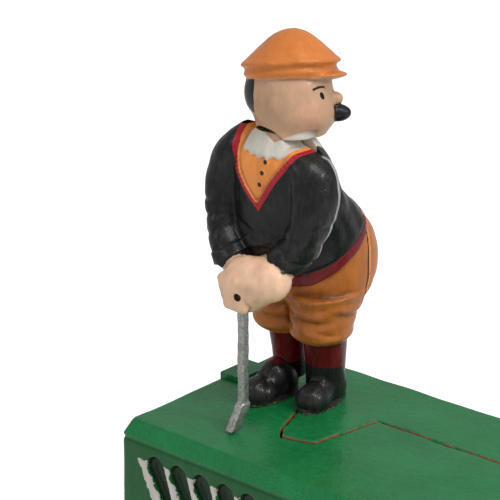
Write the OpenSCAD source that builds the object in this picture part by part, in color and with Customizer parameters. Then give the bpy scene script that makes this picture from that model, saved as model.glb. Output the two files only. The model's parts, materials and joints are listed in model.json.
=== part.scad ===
// Mechanical putting bank: a painted cast iron golfer on a hollow iron base.
// Millimetres, +Z up. +X runs along the base from the golfer to the cup, +Y to the back.
// The origin is the middle of the base's footprint, on the surface it stands on.

/* [Base] */
// Length of the base at its foot
base_l = 216; // [200:1:260]
// Width of the base at its foot
base_w = 82; // [76:1:100]
// Height of the deck above the table
base_h = 44; // [40:1:54]
// How far the foot stands out past the deck's edge
base_flare = 3; // [2.5:0.5:4]
// Thickness of the castings' walls and deck
base_wall = 3.2; // [2.8:0.1:4]
// How far the walls' top stands out past the deck's edge
wall_step = 1.6; // [1.2:0.1:2]
// Height of the sloping band round the deck
band_h = 6; // [4:0.5:8]
// How far the sloping band stands out past the deck's edge
band_out = 2.5; // [2:0.1:3]
// Gap between the front and rear base castings
seam_gap = 0.4; // [0.2:0.1:0.6]
// Distance between the slanted recesses on the long walls
rib_pitch = 9.6; // [8:0.2:14]
// Height of a slanted recess
rib_h = 15; // [10:0.5:18]
// Width of a slanted recess
rib_w = 5.6; // [4:0.1:6.5]
// Depth of a slanted recess
rib_depth = 1.6; // [1:0.1:1.8]
// Lean of a slanted recess from upright
rib_lean = 25; // [0:1:30]
// Radius of the cup that the coin drops through
cup_r = 13; // [11:0.5:16]
// Depth of the cup's collar below the deck's top
cup_h = 12; // [8:0.5:16]

/* [Bottom plate] */
// Thickness of the sheet steel bottom plate
plate_t = 1.5; // [1:0.1:2]
// Height of the plate's underside above the table
plate_z = 4; // [3.6:0.1:6]
// Radius of the coin hole in the plate
exit_r = 14; // [12:0.5:16]
// Distance from the trap's rivet to the coin hole's centre
trap_arm = 19; // [18:0.5:20]

/* [Golfer] */
// Height of the golfer above the deck
golfer_h = 122; // [104:1:147]
// Distance from the base's left end to the golfer's middle
golfer_from_left = 31; // [29:0.5:40]
// Distance from the base's back edge to the golfer's middle
golfer_from_back = 29; // [27:0.5:36]
// Wall of the golfer's hollow castings
shell = 2.5; // [2:0.1:3]
// Diameter of the putter's shaft
shaft_d = 3; // [2.4:0.1:3.6]

/* [Mechanism] */
// Reach of the crank pin from the arm pivot
crank_r = 9; // [8.5:0.1:9.5]
// Angle that the arms swing through
arms_swing = 15; // [8:0.5:15]
// Length of the lever's inner arm, from its pin to the push rod
lever_arm = 16; // [14:0.5:18]
// Width of the lever's bar
lever_w = 6; // [5:0.5:7]
// Diameter of the push rod's wire
rod_d = 2.4; // [2:0.1:2.6]
// Diameter of the lever's pin and the arm pivot pin
pin_d = 4; // [3.2:0.1:4.4]
// Diameter of the screws' shanks
screw_d = 3; // [2.6:0.1:3.4]
// Diameter of the lever spring
spring_d = 7; // [5:0.5:8]
// Height of the lever's pin below the deck's top
lever_drop = 14; // [13:0.5:16]

/* [Flag] */
// Height of the flagstick above the deck
flag_h = 62; // [40:1:90]

/* [Hidden] */

$fn = 48;
past = 1;            // how far a cut runs past the face it opens
turn_gap = 0.05;     // radial clearance of a pin that turns
set_gap = 0.02;      // radial clearance of a pin or screw that is fixed
free_gap = 0.5;      // clearance between faces that pass each other
ring_n = 20;         // corners of a body ring

// Base
deck_l = base_l - 2 * base_flare;
deck_w = base_w - 2 * base_flare;
wall_top = base_h - band_h;
inside_l = deck_l + 2 * wall_step - 2 * base_wall;
inside_w = deck_w + 2 * wall_step - 2 * base_wall;
deck_under = base_h - base_wall;
boss_r = 4.5;
boss_sink = 0.6;
boss_x = inside_l / 2 - boss_r + boss_sink;
boss_y = inside_w / 2 - boss_r + boss_sink;
boss_h = 12;
boss_places = [for (x = [-boss_x, 0, boss_x]) for (y = [-boss_y, boss_y]) [x, y]];
plate_top = plate_z + plate_t;
cup_at = [deck_l / 2 - 30, -deck_w / 2 + 20];
cup_wall = 2.5;
exit_at = [20, 0];
trap_t = 1.5;
trap_gap = 0.3;
trap_r = exit_r + 2;
trap_tab = 5;
head_r = 3;
head_t = 2;

// Golfer's place and scale
drawn_h = 122;
k = golfer_h / drawn_h;
golfer_x = -base_l / 2 + golfer_from_left;
golfer_y = base_w / 2 - golfer_from_back;
rod_hole_r = rod_d / 2 + free_gap;

// The seam in the deck, as places from the golfer's middle; the last two numbers
// say which way the front casting draws back from the rear one.
seam = [[6.1, -7.5, -1, 0], [13, -25.6, -1, 0], [16.5, -30.3, -0.5, -1],
    [27.1, -26.7, 1, -1], [31.8, -1.3, 1, -1]];
seam_back_slope = -0.382;
seam_right_y = -1.3;

// Lugs that tie the two castings together, under the seam's long run
tie_x = [-20, 45];
tie_l = 10;
tie_t = 6;
tie_z = deck_under - 6;
tie_seam_y = golfer_y + seam_right_y;

// Flag
flag_d = 2.4;
flag_nut_r = 3.2;
flag_nut_h = 2.4;
flag_foot = 4;
flag_reach = 22;
flag_drop = 14;
flag_t = 0.8;
flag_y = cup_at[1] + cup_r + cup_wall + flag_nut_r;

// Crank, rod and lever
pin_small = 2.4;
rod_thin = 0.85;      // the rod's upper half against its lower half
eye_side = 0.4;
knee_room = 3;
crank_rest = -arms_swing / 2;
pivot_z = 82 * k;
crank_at = [crank_r * cos(crank_rest), pivot_z + crank_r * sin(crank_rest)];
rod_x = crank_r * (1 + cos(crank_rest)) / 2;
rod_y = -7.9 * k;
eye_t = 1.6;
eye_r = pin_small / 2 + 0.35;
eye_out = eye_r + 1.4;
crank_rise = -2 * crank_r * sin(crank_rest);
rod_knee = [46 * k, 60 * k];
lever_x = golfer_x + rod_x - lever_arm;
lever_z = base_h - lever_drop;
lever_h = 6;
lever_out = lever_x + inside_l / 2 - 2;
foot_gap = 0.2;
foot_r = 2.5;
lug_l = 8;
lug_t = 3;
lug_gap = 0.4;
thumb_w = 14;
thumb_proud = 1.5;
thumb_deep = 6;
thumb_l = 8;
post_l = 3;
notch_drop = 12;
spring_x = lever_x - 11;
spring_wire = 0.9;
spring_turns = 6;
peg_r = spring_d / 2 - spring_wire - 0.5;
peg_h = 3;

// The golfer's rings, each [height, x, y, half width, half depth] from the golfer's middle
torso = [[33, 0, 4, 17, 12.5], [40, 0, 5.5, 20, 17], [48, 0, 6, 20.5, 18.2], [56, 0, 4, 20, 17.7],
    [64, 0, -1.3, 19.5, 15.6], [72, 0, -8.2, 18.8, 12.6], [80, 0, -12, 18.6, 11.5],
    [86, 0, -13.5, 16.5, 10], [90, 0, -13, 11.5, 8.5]];
left_leg = [[20.5, 8, -0.5, 7.6, 8], [23, 8.5, -1, 9.2, 10], [29, 8.6, -0.5, 9.6, 11.5], [37, 9, 1, 10.5, 14]];
right_leg = [[20.5, -6.4, -0.5, 7.2, 8], [23, -6.8, -1, 8.8, 10], [29, -7.2, -0.5, 9.4, 11.5],
    [37, -8, 1, 10.5, 14]];
left_sock = [[5, 7.5, 1, 5, 6], [12, 7.5, 1, 5.2, 6.2], [21.5, 8, 0.5, 6.4, 7.5]];
right_sock = [[5, -6.2, 1, 5, 6], [12, -6.2, 1, 5.2, 6.2], [21.5, -6.4, 0.5, 6.2, 7.5]];
left_sleeve = [[41, 8, -24, 4, 6.5], [46, 12, -22, 5.2, 9], [52, 15.8, -20, 6, 10], [62, 18.4, -17, 6.4, 10],
    [70, 18, -15.5, 6.8, 9.5], [78, 16.5, -14.5, 7.4, 9], [84, 14, -14, 7.2, 8.5], [89, 11, -13.5, 5, 6.5]];
right_sleeve = [[41, -3.5, -24, 4, 6.5], [46, -7.4, -22, 5.2, 9], [52, -12.6, -20, 5.8, 10],
    [62, -16.8, -17, 6.2, 10], [70, -17.8, -15.5, 6.8, 9.5], [78, -16.5, -14.5, 7.6, 9],
    [84, -14, -14, 7.5, 8.5], [89, -11, -13.5, 5, 6.5]];
cap_rings = [[106, 2.5, -9.5, 15.6, 14], [108, 2.5, -9.5, 16.4, 14.6], [111, 2.5, -9.5, 15.8, 14],
    [116, 2, -9.5, 10.8, 9.8], [120, 1, -9, 5.2, 4.6], [122, 1, -9, 1.5, 1.5]];
chest_front = -12;    // rear face of the arms casting
belt_front = -14.5;   // rear face of the forearms, in front of the belly
chest_gap = 0.5;
parting_y = 7;        // where the golfer's front and rear castings meet
parting_gap = 0.2;
rear_low_z = 20;       // the rear casting ends here, above the socks
body_front = chest_front + chest_gap;
front_wall = 2.4;
chest_r = 28 * k;     // the chest's lower edge is an arc about the pivot
chest_low = 50.5;     // the belly is cut back above this height, where the swinging chest passes
jaw_z = 93.4;         // the head clears the swinging shoulders below this height
neck_z = 90.4;
hands_at = [4, -29, 45];
hands_r = [12, 7.5, 8.5];
head_at = [4, -10, 102];
head_size = [15.5, 14, 12];
shaft_at = [3, -32.5];
putter_pin_z = 44;
shaft_top = 47;
stud_at = [2, -8];
shoe_r = [6.5, 13.5, 6.5];
left_shoe = [9.5, -3, 6.2];
right_shoe = [-6, -7, 6.2];
foot_screw_at = [[10.5, -7], [-6, -10.5]];
body_screw_z = 50;
body_screw_head_y = 20.6;
far = 60;             // larger than any half of the golfer

function grown(rings, d) = [for (r = rings) [r[0], r[1], r[2], r[3] + d, r[4] + d]];
function scaled(rings) = [for (r = rings) r * k];
function egg(c, r, n = 9) = [for (i = [0 : n]) let (a = -84 + 168 * i / n)
    [c[2] + r[2] * sin(a), c[0], c[1], r[0] * cos(a), r[1] * cos(a)]];

// A closed skin through flat rings
module loft(rings, n = ring_n) {
    top = (len(rings) - 1) * n;
    points = [for (r = rings) for (i = [0 : n - 1])
        [r[1] + r[3] * cos(360 * i / n), r[2] + r[4] * sin(360 * i / n), r[0]]];
    lower = [for (j = [0 : len(rings) - 2]) for (i = [0 : n - 1])
        [j * n + i, (j + 1) * n + i, j * n + (i + 1) % n]];
    upper = [for (j = [0 : len(rings) - 2]) for (i = [0 : n - 1])
        [(j + 1) * n + i, (j + 1) * n + (i + 1) % n, j * n + (i + 1) % n]];
    polyhedron(points, concat(lower, upper, [[for (i = [0 : n - 1]) i]],
        [[for (i = [n - 1 : -1 : 0]) top + i]]));
}

// A block whose plan changes evenly from z0 to z1
module taper(l0, w0, z0, l1, w1, z1) {
    points = [for (s = [[l0, w0, z0], [l1, w1, z1]]) for (c = [[-1, -1], [1, -1], [1, 1], [-1, 1]])
        [c[0] * s[0] / 2, c[1] * s[1] / 2, s[2]]];
    polyhedron(points, [[0, 1, 2, 3], [7, 6, 5, 4], [0, 4, 5, 1], [1, 5, 6, 2], [2, 6, 7, 3], [3, 7, 4, 0]]);
}

// A rod from y0 to y1
module along_y(x, z, r, y0, y1) translate([x, y0, z]) rotate([-90, 0, 0]) cylinder(r = r, h = y1 - y0);

module at_golfer() translate([golfer_x, golfer_y, base_h]) children();

module screw(length, head = head_t) {
    cylinder(r = screw_d / 2, h = length);
    translate([0, 0, -head]) cylinder(r = head_r, h = head);
}

// ---- Base ----

module ribs(side) {
    count = floor((deck_l - 16) / rib_pitch);
    floor_y = deck_w / 2 + wall_step - rib_depth;
    for (i = [0 : count - 1])
        translate([(i - (count - 1) / 2) * rib_pitch, side * floor_y, wall_top - 5 - rib_h / 2])
            rotate([side > 0 ? -90 : 90, 0, 0]) rotate(side * rib_lean) {
                translate([-rib_w / 2, -(rib_h - rib_w) / 2, 0]) cube([rib_w, rib_h - rib_w, 6]);
                for (end = [-1, 1]) translate([0, end * (rib_h - rib_w) / 2, 0])
                    cylinder(r = rib_w / 2, h = 6, $fn = 24);
            }
}

module base_walls() {
    difference() {
        union() {
            taper(base_l, base_w, 0, deck_l + 2 * wall_step, deck_w + 2 * wall_step, wall_top);
            taper(deck_l + 2 * band_out, deck_w + 2 * band_out, wall_top, deck_l, deck_w, base_h);
        }
        translate([-inside_l / 2, -inside_w / 2, -past]) cube([inside_l, inside_w, deck_under + past]);
        for (side = [-1, 1]) ribs(side);
        // Notch for the thumb piece
        translate([-base_l / 2 - past, golfer_y - thumb_w / 2 - free_gap, base_h - notch_drop])
            cube([past + base_flare + thumb_l + free_gap, thumb_w + 2 * free_gap, notch_drop + past]);
    }
    for (p = boss_places) translate([p[0], p[1], plate_top]) cylinder(r = boss_r, h = boss_h);
}

// Plan of the rear casting, drawn back by g where the front casting meets it
module rear_plan(g) {
    back_y = base_w / 2 + 5;
    back_x = golfer_x + seam[0][0] + seam_back_slope * (back_y - golfer_y - seam[0][1]);
    right_x = base_l / 2 + 5;
    polygon(concat([[back_x - g, back_y]],
        [for (s = seam) [golfer_x + s[0] + g * s[2], golfer_y + s[1] + g * s[3]]],
        [[right_x, golfer_y + seam_right_y - g], [right_x, back_y]]));
}

module screw_holes() {
    for (p = boss_places) translate([p[0], p[1], plate_z])
        cylinder(r = screw_d / 2 + set_gap, h = plate_t + boss_h - 2);
    for (p = foot_screw_at) at_golfer() translate([p[0] * k, p[1] * k, -base_wall - past])
        cylinder(r = screw_d / 2 + set_gap, h = base_wall + 2 * past);
    for (x = tie_x) along_y(x, tie_z, screw_d / 2 + set_gap, tie_seam_y - 2 * tie_t, tie_seam_y + 2 * tie_t);
}

module base_front() color("forestgreen") difference() {
    union() {
        difference() {
            base_walls();
            translate([0, 0, -past]) linear_extrude(base_h + 2 * past) rear_plan(seam_gap);
        }
        for (x = tie_x) translate([x - tie_l / 2, tie_seam_y - seam_gap - tie_t, tie_z - 5])
            cube([tie_l, tie_t, deck_under - tie_z + 5 + past]);
        for (s = [-1, 1]) translate([lever_x - lug_l / 2,
            golfer_y + s * (lever_w / 2 + lug_gap + lug_t / 2) - lug_t / 2, lever_z - lug_l / 2])
            cube([lug_l, lug_t, deck_under - lever_z + lug_l / 2 + past]);
        translate([cup_at[0], cup_at[1], base_h - cup_h]) cylinder(r = cup_r + cup_wall, h = cup_h - past);
    }
    screw_holes();
    along_y(lever_x, lever_z, pin_d / 2 + set_gap, golfer_y - thumb_w, golfer_y + thumb_w);
    translate([cup_at[0], cup_at[1], 0]) cylinder(r = cup_r, h = base_h + past);
    translate([cup_at[0], flag_y, 0]) cylinder(r = flag_d / 2 + set_gap, h = base_h + past);
}

module base_rear() color("forestgreen") difference() {
    union() {
        intersection() {
            base_walls();
            translate([0, 0, -past]) linear_extrude(base_h + 2 * past) rear_plan(0);
        }
        for (x = tie_x) translate([x - tie_l / 2, tie_seam_y, tie_z - 5])
            cube([tie_l, tie_t, deck_under - tie_z + 5 + past]);
    }
    screw_holes();
    at_golfer() translate([rod_x, 0, -base_wall - past]) cylinder(r = rod_hole_r, h = base_wall + 2 * past);
}

module bottom_plate() color("dimgray") {
    gap = 0.4;
    difference() {
        translate([-inside_l / 2 + gap, -inside_w / 2 + gap, plate_z])
            cube([inside_l - 2 * gap, inside_w - 2 * gap, plate_t]);
        for (p = boss_places) translate([p[0], p[1], plate_z - past])
            cylinder(r = screw_d / 2 + set_gap, h = plate_t + 2 * past);
        translate([exit_at[0], exit_at[1], plate_z - past]) cylinder(r = exit_r, h = plate_t + 2 * past);
        translate([exit_at[0] + trap_arm, exit_at[1], plate_z - past])
            cylinder(r = screw_d / 2 + set_gap, h = plate_t + 2 * past);
    }
    translate([spring_x, golfer_y, plate_top]) cylinder(r = peg_r, h = peg_h);
}

module plate_screws() color("silver") for (p = boss_places) translate([p[0], p[1], plate_z])
    screw(plate_t + boss_h - 3);

module coin_trap() color("gray") translate([exit_at[0], exit_at[1], plate_z - trap_gap - trap_t]) difference() {
    union() {
        cylinder(r = trap_r, h = trap_t);
        translate([0, -trap_tab, 0]) cube([trap_arm, 2 * trap_tab, trap_t]);
        translate([trap_arm, 0, 0]) cylinder(r = trap_tab, h = trap_t);
    }
    translate([trap_arm, 0, -past]) cylinder(r = screw_d / 2 + turn_gap, h = trap_t + 2 * past);
    for (y = [-4, 4]) translate([-trap_r + 5, y, -past]) cylinder(r = 1.2, h = trap_t + 2 * past);
}

module trap_rivet() color("silver")
    translate([exit_at[0] + trap_arm, exit_at[1], plate_z - trap_gap - trap_t - trap_gap]) {
        screw(trap_t + 2 * trap_gap + plate_t, 1);
        translate([0, 0, trap_t + 2 * trap_gap + plate_t]) cylinder(r = head_r, h = 1);
    }

module tie_screws() color("silver") for (x = tie_x)
    translate([x, tie_seam_y - seam_gap - tie_t, tie_z]) rotate([-90, 0, 0]) screw(2 * tie_t + seam_gap + 3);

module tie_nuts() color("silver") for (x = tie_x) difference() {
    along_y(x, tie_z, 3.2, tie_seam_y + tie_t, tie_seam_y + tie_t + 2.4, $fn = 6);
    along_y(x, tie_z, screw_d / 2 + set_gap, tie_seam_y, tie_seam_y + 2 * tie_t);
}

module foot_screws() color("silver") for (p = foot_screw_at)
    at_golfer() translate([p[0] * k, p[1] * k, -base_wall]) screw(base_wall + 8 * k);

// ---- Trigger and push rod ----

module trigger_lever() color("forestgreen") difference() {
    union() {
        translate([lever_x - lever_out, golfer_y - lever_w / 2, lever_z - lever_h / 2])
            cube([lever_out + lever_arm + foot_r, lever_w, lever_h]);
        translate([-deck_l / 2 + thumb_l - post_l - free_gap, golfer_y - lever_w / 2, lever_z])
            cube([post_l, lever_w, lever_drop]);
        translate([-deck_l / 2 - base_flare / 2, golfer_y - thumb_w / 2, base_h - thumb_deep])
            cube([thumb_l + base_flare / 2 - free_gap, thumb_w, thumb_deep + thumb_proud]);
    }
    along_y(lever_x, lever_z, pin_d / 2 + turn_gap, golfer_y - lever_w, golfer_y + lever_w);
}

module lever_pin() color("silver") {
    reach = lever_w / 2 + lug_gap + lug_t;
    along_y(lever_x, lever_z, pin_d / 2, golfer_y - reach, golfer_y + reach);
}

// A wire coil between the plate and the lever's outer arm
module lever_spring() color("silver") {
    low = plate_top + spring_wire / 2 + 0.05;
    high = lever_z - lever_h / 2 - spring_wire / 2 - 0.05;
    steps = 12;
    sides = 8;
    last = spring_turns * steps;
    mid_r = (spring_d - spring_wire) / 2;
    points = [for (i = [0 : last]) for (j = [0 : sides - 1])
        let (a = 360 * i / steps, b = 360 * j / sides, r = mid_r + spring_wire / 2 * cos(b))
        [r * cos(a), r * sin(a), low + (high - low) * i / last + spring_wire / 2 * sin(b)]];
    walls = [for (i = [0 : last - 1]) for (j = [0 : sides - 1])
        [i * sides + j, i * sides + (j + 1) % sides, (i + 1) * sides + (j + 1) % sides, (i + 1) * sides + j]];
    translate([spring_x, golfer_y, 0]) polyhedron(points, concat(walls,
        [[for (j = [sides - 1 : -1 : 0]) j]], [[for (j = [0 : sides - 1]) last * sides + j]]));
}

// A straight piece of wire with a rounded bend at its far end
module wire(a, b, r) {
    d = b - a;
    translate(a) rotate([0, acos(d[2] / norm(d)), atan2(d[1], d[0])]) cylinder(r = r, h = norm(d), $fn = 24);
    translate(b) sphere(r = r + 0.1, $fn = 24);
}

module push_rod() color("silver") at_golfer() {
    r = rod_d / 2;
    foot_z = lever_z + lever_h / 2 + foot_gap + foot_r - base_h;
    wire([rod_x, 0, foot_z], [rod_x, 0, rod_knee[0]], r);
    wire([rod_x, 0, rod_knee[0]], [rod_x, rod_y, rod_knee[1]], r);
    wire([rod_x, rod_y, rod_knee[1]], [rod_x, rod_y, crank_at[1] - eye_out], r * rod_thin);
    translate([rod_x, 0, foot_z]) sphere(r = foot_r);
    difference() {
        along_y(rod_x, crank_at[1], eye_out, rod_y - eye_t / 2, rod_y + eye_t / 2);
        along_y(rod_x, crank_at[1], eye_r, rod_y - eye_t, rod_y + eye_t);
    }
}

// ---- Golfer ----

module golfer_hollow() {
    loft(scaled(grown(torso, -shell / k)));
    for (leg = [left_leg, right_leg])
        loft(scaled(grown([for (i = [1 : len(leg) - 1]) leg[i]], -shell / k)));
}

module shoe(at) difference() {
    loft(scaled(egg([at[0], at[1], at[2]], shoe_r)));
    translate([-far, -far, -far]) cube([2 * far, 2 * far, far]);
}

module golfer_skin() {
    for (rings = [torso, left_leg, right_leg, left_sock, right_sock]) loft(scaled(rings));
    for (at = [left_shoe, right_shoe]) shoe(at);
}

// Space in front of the body that the chest swings in
module chest_space() translate([-far, -far, chest_low * k]) cube([2 * far, far + body_front * k, 2 * far]);

module golfer_front() color("darkorange") at_golfer() difference() {
    union() {
        difference() {
            golfer_skin();
            intersection() {
                golfer_hollow();
                translate([-far, (body_front + front_wall) * k, 0]) cube([2 * far, far, 2 * far]);
            }
        }
        along_y(0, body_screw_z * k, 3.6, body_front * k, parting_y * k);
    }
    chest_space();
    translate([-far, parting_y * k, (rear_low_z - parting_gap) * k]) cube([2 * far, far, 3 * far]);
    along_y(0, pivot_z, pin_d / 2 + turn_gap, body_front * k - past, -4 * k);
    for (a = [-1 : 0.5 : 1]) {
        at = arms_swing / 2 * a;
        along_y(crank_r * cos(at), pivot_z + crank_r * sin(at), pin_small / 2 + free_gap,
            body_front * k - past, (body_front + front_wall) * k + past);
    }
    // Room for the rod's eye as it rises
    for (share = [0 : 0.25 : 1]) along_y(rod_x, crank_at[1] + share * crank_rise, eye_out + free_gap,
        (body_front + front_wall) * k, rod_y + eye_t / 2 + eye_side);
    // Room for the rod's upper knee
    translate([rod_x, rod_y, rod_knee[1] - knee_room])
        cylinder(r = rod_hole_r, h = crank_rise + 2 * knee_room);
    translate([rod_x, 0, -past]) cylinder(r = rod_hole_r, h = 26 * k);
    for (p = foot_screw_at) translate([p[0] * k, p[1] * k, -past])
        cylinder(r = screw_d / 2 + set_gap, h = past + 8.2 * k);
    along_y(0, body_screw_z * k, screw_d / 2 + set_gap, -6 * k, parting_y * k + past);
    translate([stud_at[0] * k, stud_at[1] * k, 86.4 * k]) cylinder(r = 1.5 + set_gap, h = 6 * k);
}

module golfer_rear() color("darkorange") at_golfer() difference() {
    union() {
        difference() {
            golfer_skin();
            golfer_hollow();
        }
        along_y(0, body_screw_z * k, 3.6, parting_y * k, 21 * k);
    }
    translate([-far, -2 * far + (parting_y + parting_gap) * k, -past]) cube([2 * far, 2 * far, 3 * far]);
    translate([-far, -far, -past]) cube([2 * far, 2 * far, rear_low_z * k + past]);
    along_y(0, body_screw_z * k, screw_d / 2 + set_gap, 0, far);
    along_y(0, body_screw_z * k, head_r + 0.2, body_screw_head_y * k - head_t, far);
}

module body_screw() color("silver") at_golfer()
    translate([0, body_screw_head_y * k - head_t, body_screw_z * k]) rotate([90, 0, 0])
        screw(body_screw_head_y * k - head_t + 5.6 * k);

module head_casting() color("peachpuff") at_golfer() difference() {
    union() {
        loft(scaled(egg(head_at, head_size)));
        loft(scaled(cap_rings));
        translate([k, -8 * k, neck_z * k]) cylinder(r = 8 * k, h = 8 * k);
        // Peak, nose and whiskers
        hull() {
            translate([6 * k, -9 * k, 106 * k]) cylinder(r = 12.5 * k, h = 1.6 * k, $fn = 32);
            translate([12.5 * k, -7 * k, 105 * k]) cylinder(r = 9 * k, h = 1.4 * k, $fn = 32);
        }
        translate([19.4 * k, -5.5 * k, 101.5 * k]) sphere(r = 2.6 * k, $fn = 24);
        translate([18.6 * k, -5.8 * k, 96.6 * k]) sphere(r = 2.6 * k, $fn = 24);
    }
    translate([-far, -far, 0]) cube([2 * far, far + (body_front - 0.1) * k, jaw_z * k]);
    translate([-far, -far, 0]) cube([2 * far, 2 * far, neck_z * k]);
    translate([stud_at[0] * k, stud_at[1] * k, neck_z * k - past]) cylinder(r = 1.5 + set_gap, h = 7 * k);
}

module head_stud() color("silver") at_golfer()
    translate([stud_at[0] * k, stud_at[1] * k, 86.5 * k]) cylinder(r = 1.5, h = 10 * k - past);

module arms_skin() {
    loft(scaled(torso));
    for (rings = [left_sleeve, right_sleeve, egg(hands_at, hands_r)]) loft(scaled(rings));
}

module arms_casting() color("dimgray") at_golfer() difference() {
    intersection() {
        union() {
            difference() {
                arms_skin();
                // Hollow behind the chest
                intersection() {
                    loft(scaled(grown(torso, -shell / k)));
                    translate([-11 * k, -far, 64 * k]) cube([22 * k, far, 21 * k]);
                }
            }
            along_y(0, pivot_z, 3.6, -21 * k, chest_front * k);
            along_y(crank_at[0], crank_at[1], 2.8, -19 * k, chest_front * k);
        }
        // Nothing behind the flat rear face, and the chest ends on its arc
        translate([-far, -far, 0]) cube([2 * far, far + chest_front * k, 2 * far]);
        union() {
            translate([0, 0, pivot_z]) rotate([90, 0, 0]) cylinder(r = chest_r, h = far);
            for (rings = [left_sleeve, right_sleeve, egg(hands_at, hands_r)]) loft(scaled(rings));
        }
    }
    translate([-far, belt_front * k, 0]) cube([2 * far, far, 55 * k]);
    along_y(0, pivot_z, pin_d / 2 + set_gap, -20 * k, 0);
    along_y(crank_at[0], crank_at[1], pin_small / 2 + set_gap, -18 * k, 0);
    translate([shaft_at[0] * k, shaft_at[1] * k, 20 * k]) cylinder(r = shaft_d / 2 + set_gap, h = 28 * k);
    along_y(shaft_at[0] * k, putter_pin_z * k, 1 + set_gap, -far, -26 * k);
}

module arm_pivot_pin() color("silver") at_golfer() along_y(0, pivot_z, pin_d / 2, -19.6 * k, -5.4 * k);

module pivot_clip() color("silver") at_golfer() difference() {
    along_y(0, pivot_z, 3.6, (body_front + front_wall) * k + 0.3, (body_front + front_wall) * k + 1.3);
    along_y(0, pivot_z, pin_d / 2 + set_gap, -far, far);
}

module crank_pin() color("silver") at_golfer()
    along_y(crank_at[0], crank_at[1], pin_small / 2, -17.6 * k, rod_y + eye_t / 2 + 0.2);

module putter() color("gray") at_golfer() difference() {
    union() {
        translate([shaft_at[0] * k, shaft_at[1] * k, 3]) cylinder(r = shaft_d / 2, h = shaft_top * k - 3);
        translate([shaft_at[0] * k + 1, shaft_at[1] * k + 1.2, 4]) rotate([90, 0, 0]) linear_extrude(7.5)
            polygon([[-2, -3.4], [1.2, -3.4], [0.8, 2.4], [-0.6, 3.2], [-2.4, 2.4]]);
    }
    along_y(shaft_at[0] * k, putter_pin_z * k, 1 + set_gap, -far, 0);
}

module putter_pin() color("silver") at_golfer() along_y(shaft_at[0] * k, putter_pin_z * k, 1, -35 * k, -26.4 * k);

// ---- Flag ----

module flagstick() color("white") translate([cup_at[0], flag_y, deck_under - flag_foot]) {
    cylinder(r = flag_d / 2, h = flag_h + base_wall + flag_foot);
    translate([0, 0, flag_h + base_wall + flag_foot]) sphere(r = 2);
}

module flag() color("firebrick") translate([cup_at[0], flag_y + flag_t / 2, base_h + flag_h - 2]) rotate([90, 0, 0])
    linear_extrude(flag_t) polygon([[flag_d / 2 + set_gap, 0], [flag_reach, -flag_drop / 2], [flag_d / 2 + set_gap, -flag_drop]]);

module flag_nut() color("silver") translate([cup_at[0], flag_y, deck_under - flag_nut_h]) difference() {
    cylinder(r = flag_nut_r, h = flag_nut_h, $fn = 6);
    translate([0, 0, -past]) cylinder(r = flag_d / 2 + set_gap, h = flag_nut_h + 2 * past);
}

base_front();
base_rear();
bottom_plate();
plate_screws();
coin_trap();
trap_rivet();
tie_screws();
tie_nuts();
foot_screws();
trigger_lever();
lever_pin();
lever_spring();
push_rod();
golfer_front();
golfer_rear();
body_screw();
head_casting();
head_stud();
arms_casting();
arm_pivot_pin();
pivot_clip();
crank_pin();
putter();
putter_pin();
flagstick();
flag();
flag_nut();
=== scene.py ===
# %% [markdown]
# # A painted cast iron golf bank
#
# The bank is two green base castings with a seam between them, and a golfer made of a body in two
# halves, a head, and one casting of chest, sleeves and hands that swings. Every casting here is a
# solid described by one formula: a function that is negative inside the iron and positive outside
# it. Simple solids are blended with soft unions and soft cuts, the way a pattern maker fillets
# wood, and one routine turns the formula into a closed mesh. Paint edges are distances kept on the
# mesh, so they stay sharp however coarse the mesh is.

# %% Loading the frame
import json

import bpy
import numpy as np
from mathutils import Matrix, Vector


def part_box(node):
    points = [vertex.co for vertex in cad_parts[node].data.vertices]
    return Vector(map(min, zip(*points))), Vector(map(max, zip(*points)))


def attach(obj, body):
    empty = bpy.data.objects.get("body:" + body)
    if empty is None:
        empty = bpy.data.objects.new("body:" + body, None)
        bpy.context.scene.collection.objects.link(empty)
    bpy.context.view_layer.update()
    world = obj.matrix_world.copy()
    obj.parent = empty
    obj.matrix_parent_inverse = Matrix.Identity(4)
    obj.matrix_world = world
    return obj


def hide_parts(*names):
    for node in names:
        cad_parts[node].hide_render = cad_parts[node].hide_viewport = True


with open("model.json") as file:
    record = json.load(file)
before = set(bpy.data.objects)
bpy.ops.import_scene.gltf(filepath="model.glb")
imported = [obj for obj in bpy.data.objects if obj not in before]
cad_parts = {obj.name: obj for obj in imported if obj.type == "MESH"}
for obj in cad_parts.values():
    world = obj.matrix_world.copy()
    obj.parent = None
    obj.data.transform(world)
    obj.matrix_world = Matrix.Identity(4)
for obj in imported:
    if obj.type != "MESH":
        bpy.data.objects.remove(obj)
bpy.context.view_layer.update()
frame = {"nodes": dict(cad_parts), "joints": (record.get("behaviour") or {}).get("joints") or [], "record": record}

MM = 0.001
print("the frame holds", len(frame["nodes"]), "nodes")

# %% [markdown]
# ## Places taken from the frame
#
# The golfer's own axes start on the deck, right under the pivot of the arms. Lengths in this script
# are millimetres, and only the finished points become metres.

# %% Places
joints = {joint["name"]: joint for joint in frame["joints"]}
base_low, base_high = (np.array(corner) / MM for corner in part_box("base_front"))
PIVOT = np.array(joints["arms_swing"]["pos_m"]) / MM
LEVER = np.array(joints["lever_press"]["pos_m"]) / MM
DECK_Z = base_high[2]
GOLFER = np.array([PIVOT[0], PIVOT[1], DECK_Z])
PIVOT_Z = PIVOT[2] - DECK_Z
BASE_L = base_high[0] - base_low[0]
BASE_W = base_high[1] - base_low[1]
FLARE = 3.0
DECK_L = BASE_L - 2 * FLARE
DECK_W = BASE_W - 2 * FLARE
WALL = 3.2
STEP = 1.6
BAND_H = 6.0
BAND_OUT = 2.5
crank_low, crank_high = (np.array(corner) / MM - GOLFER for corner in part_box("crank_pin"))
CRANK = (crank_low + crank_high) / 2
flag_low, flag_high = (np.array(corner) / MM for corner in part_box("flagstick"))
CUP = np.array([(flag_low[0] + flag_high[0]) / 2, -DECK_W / 2 + 20])
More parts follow.
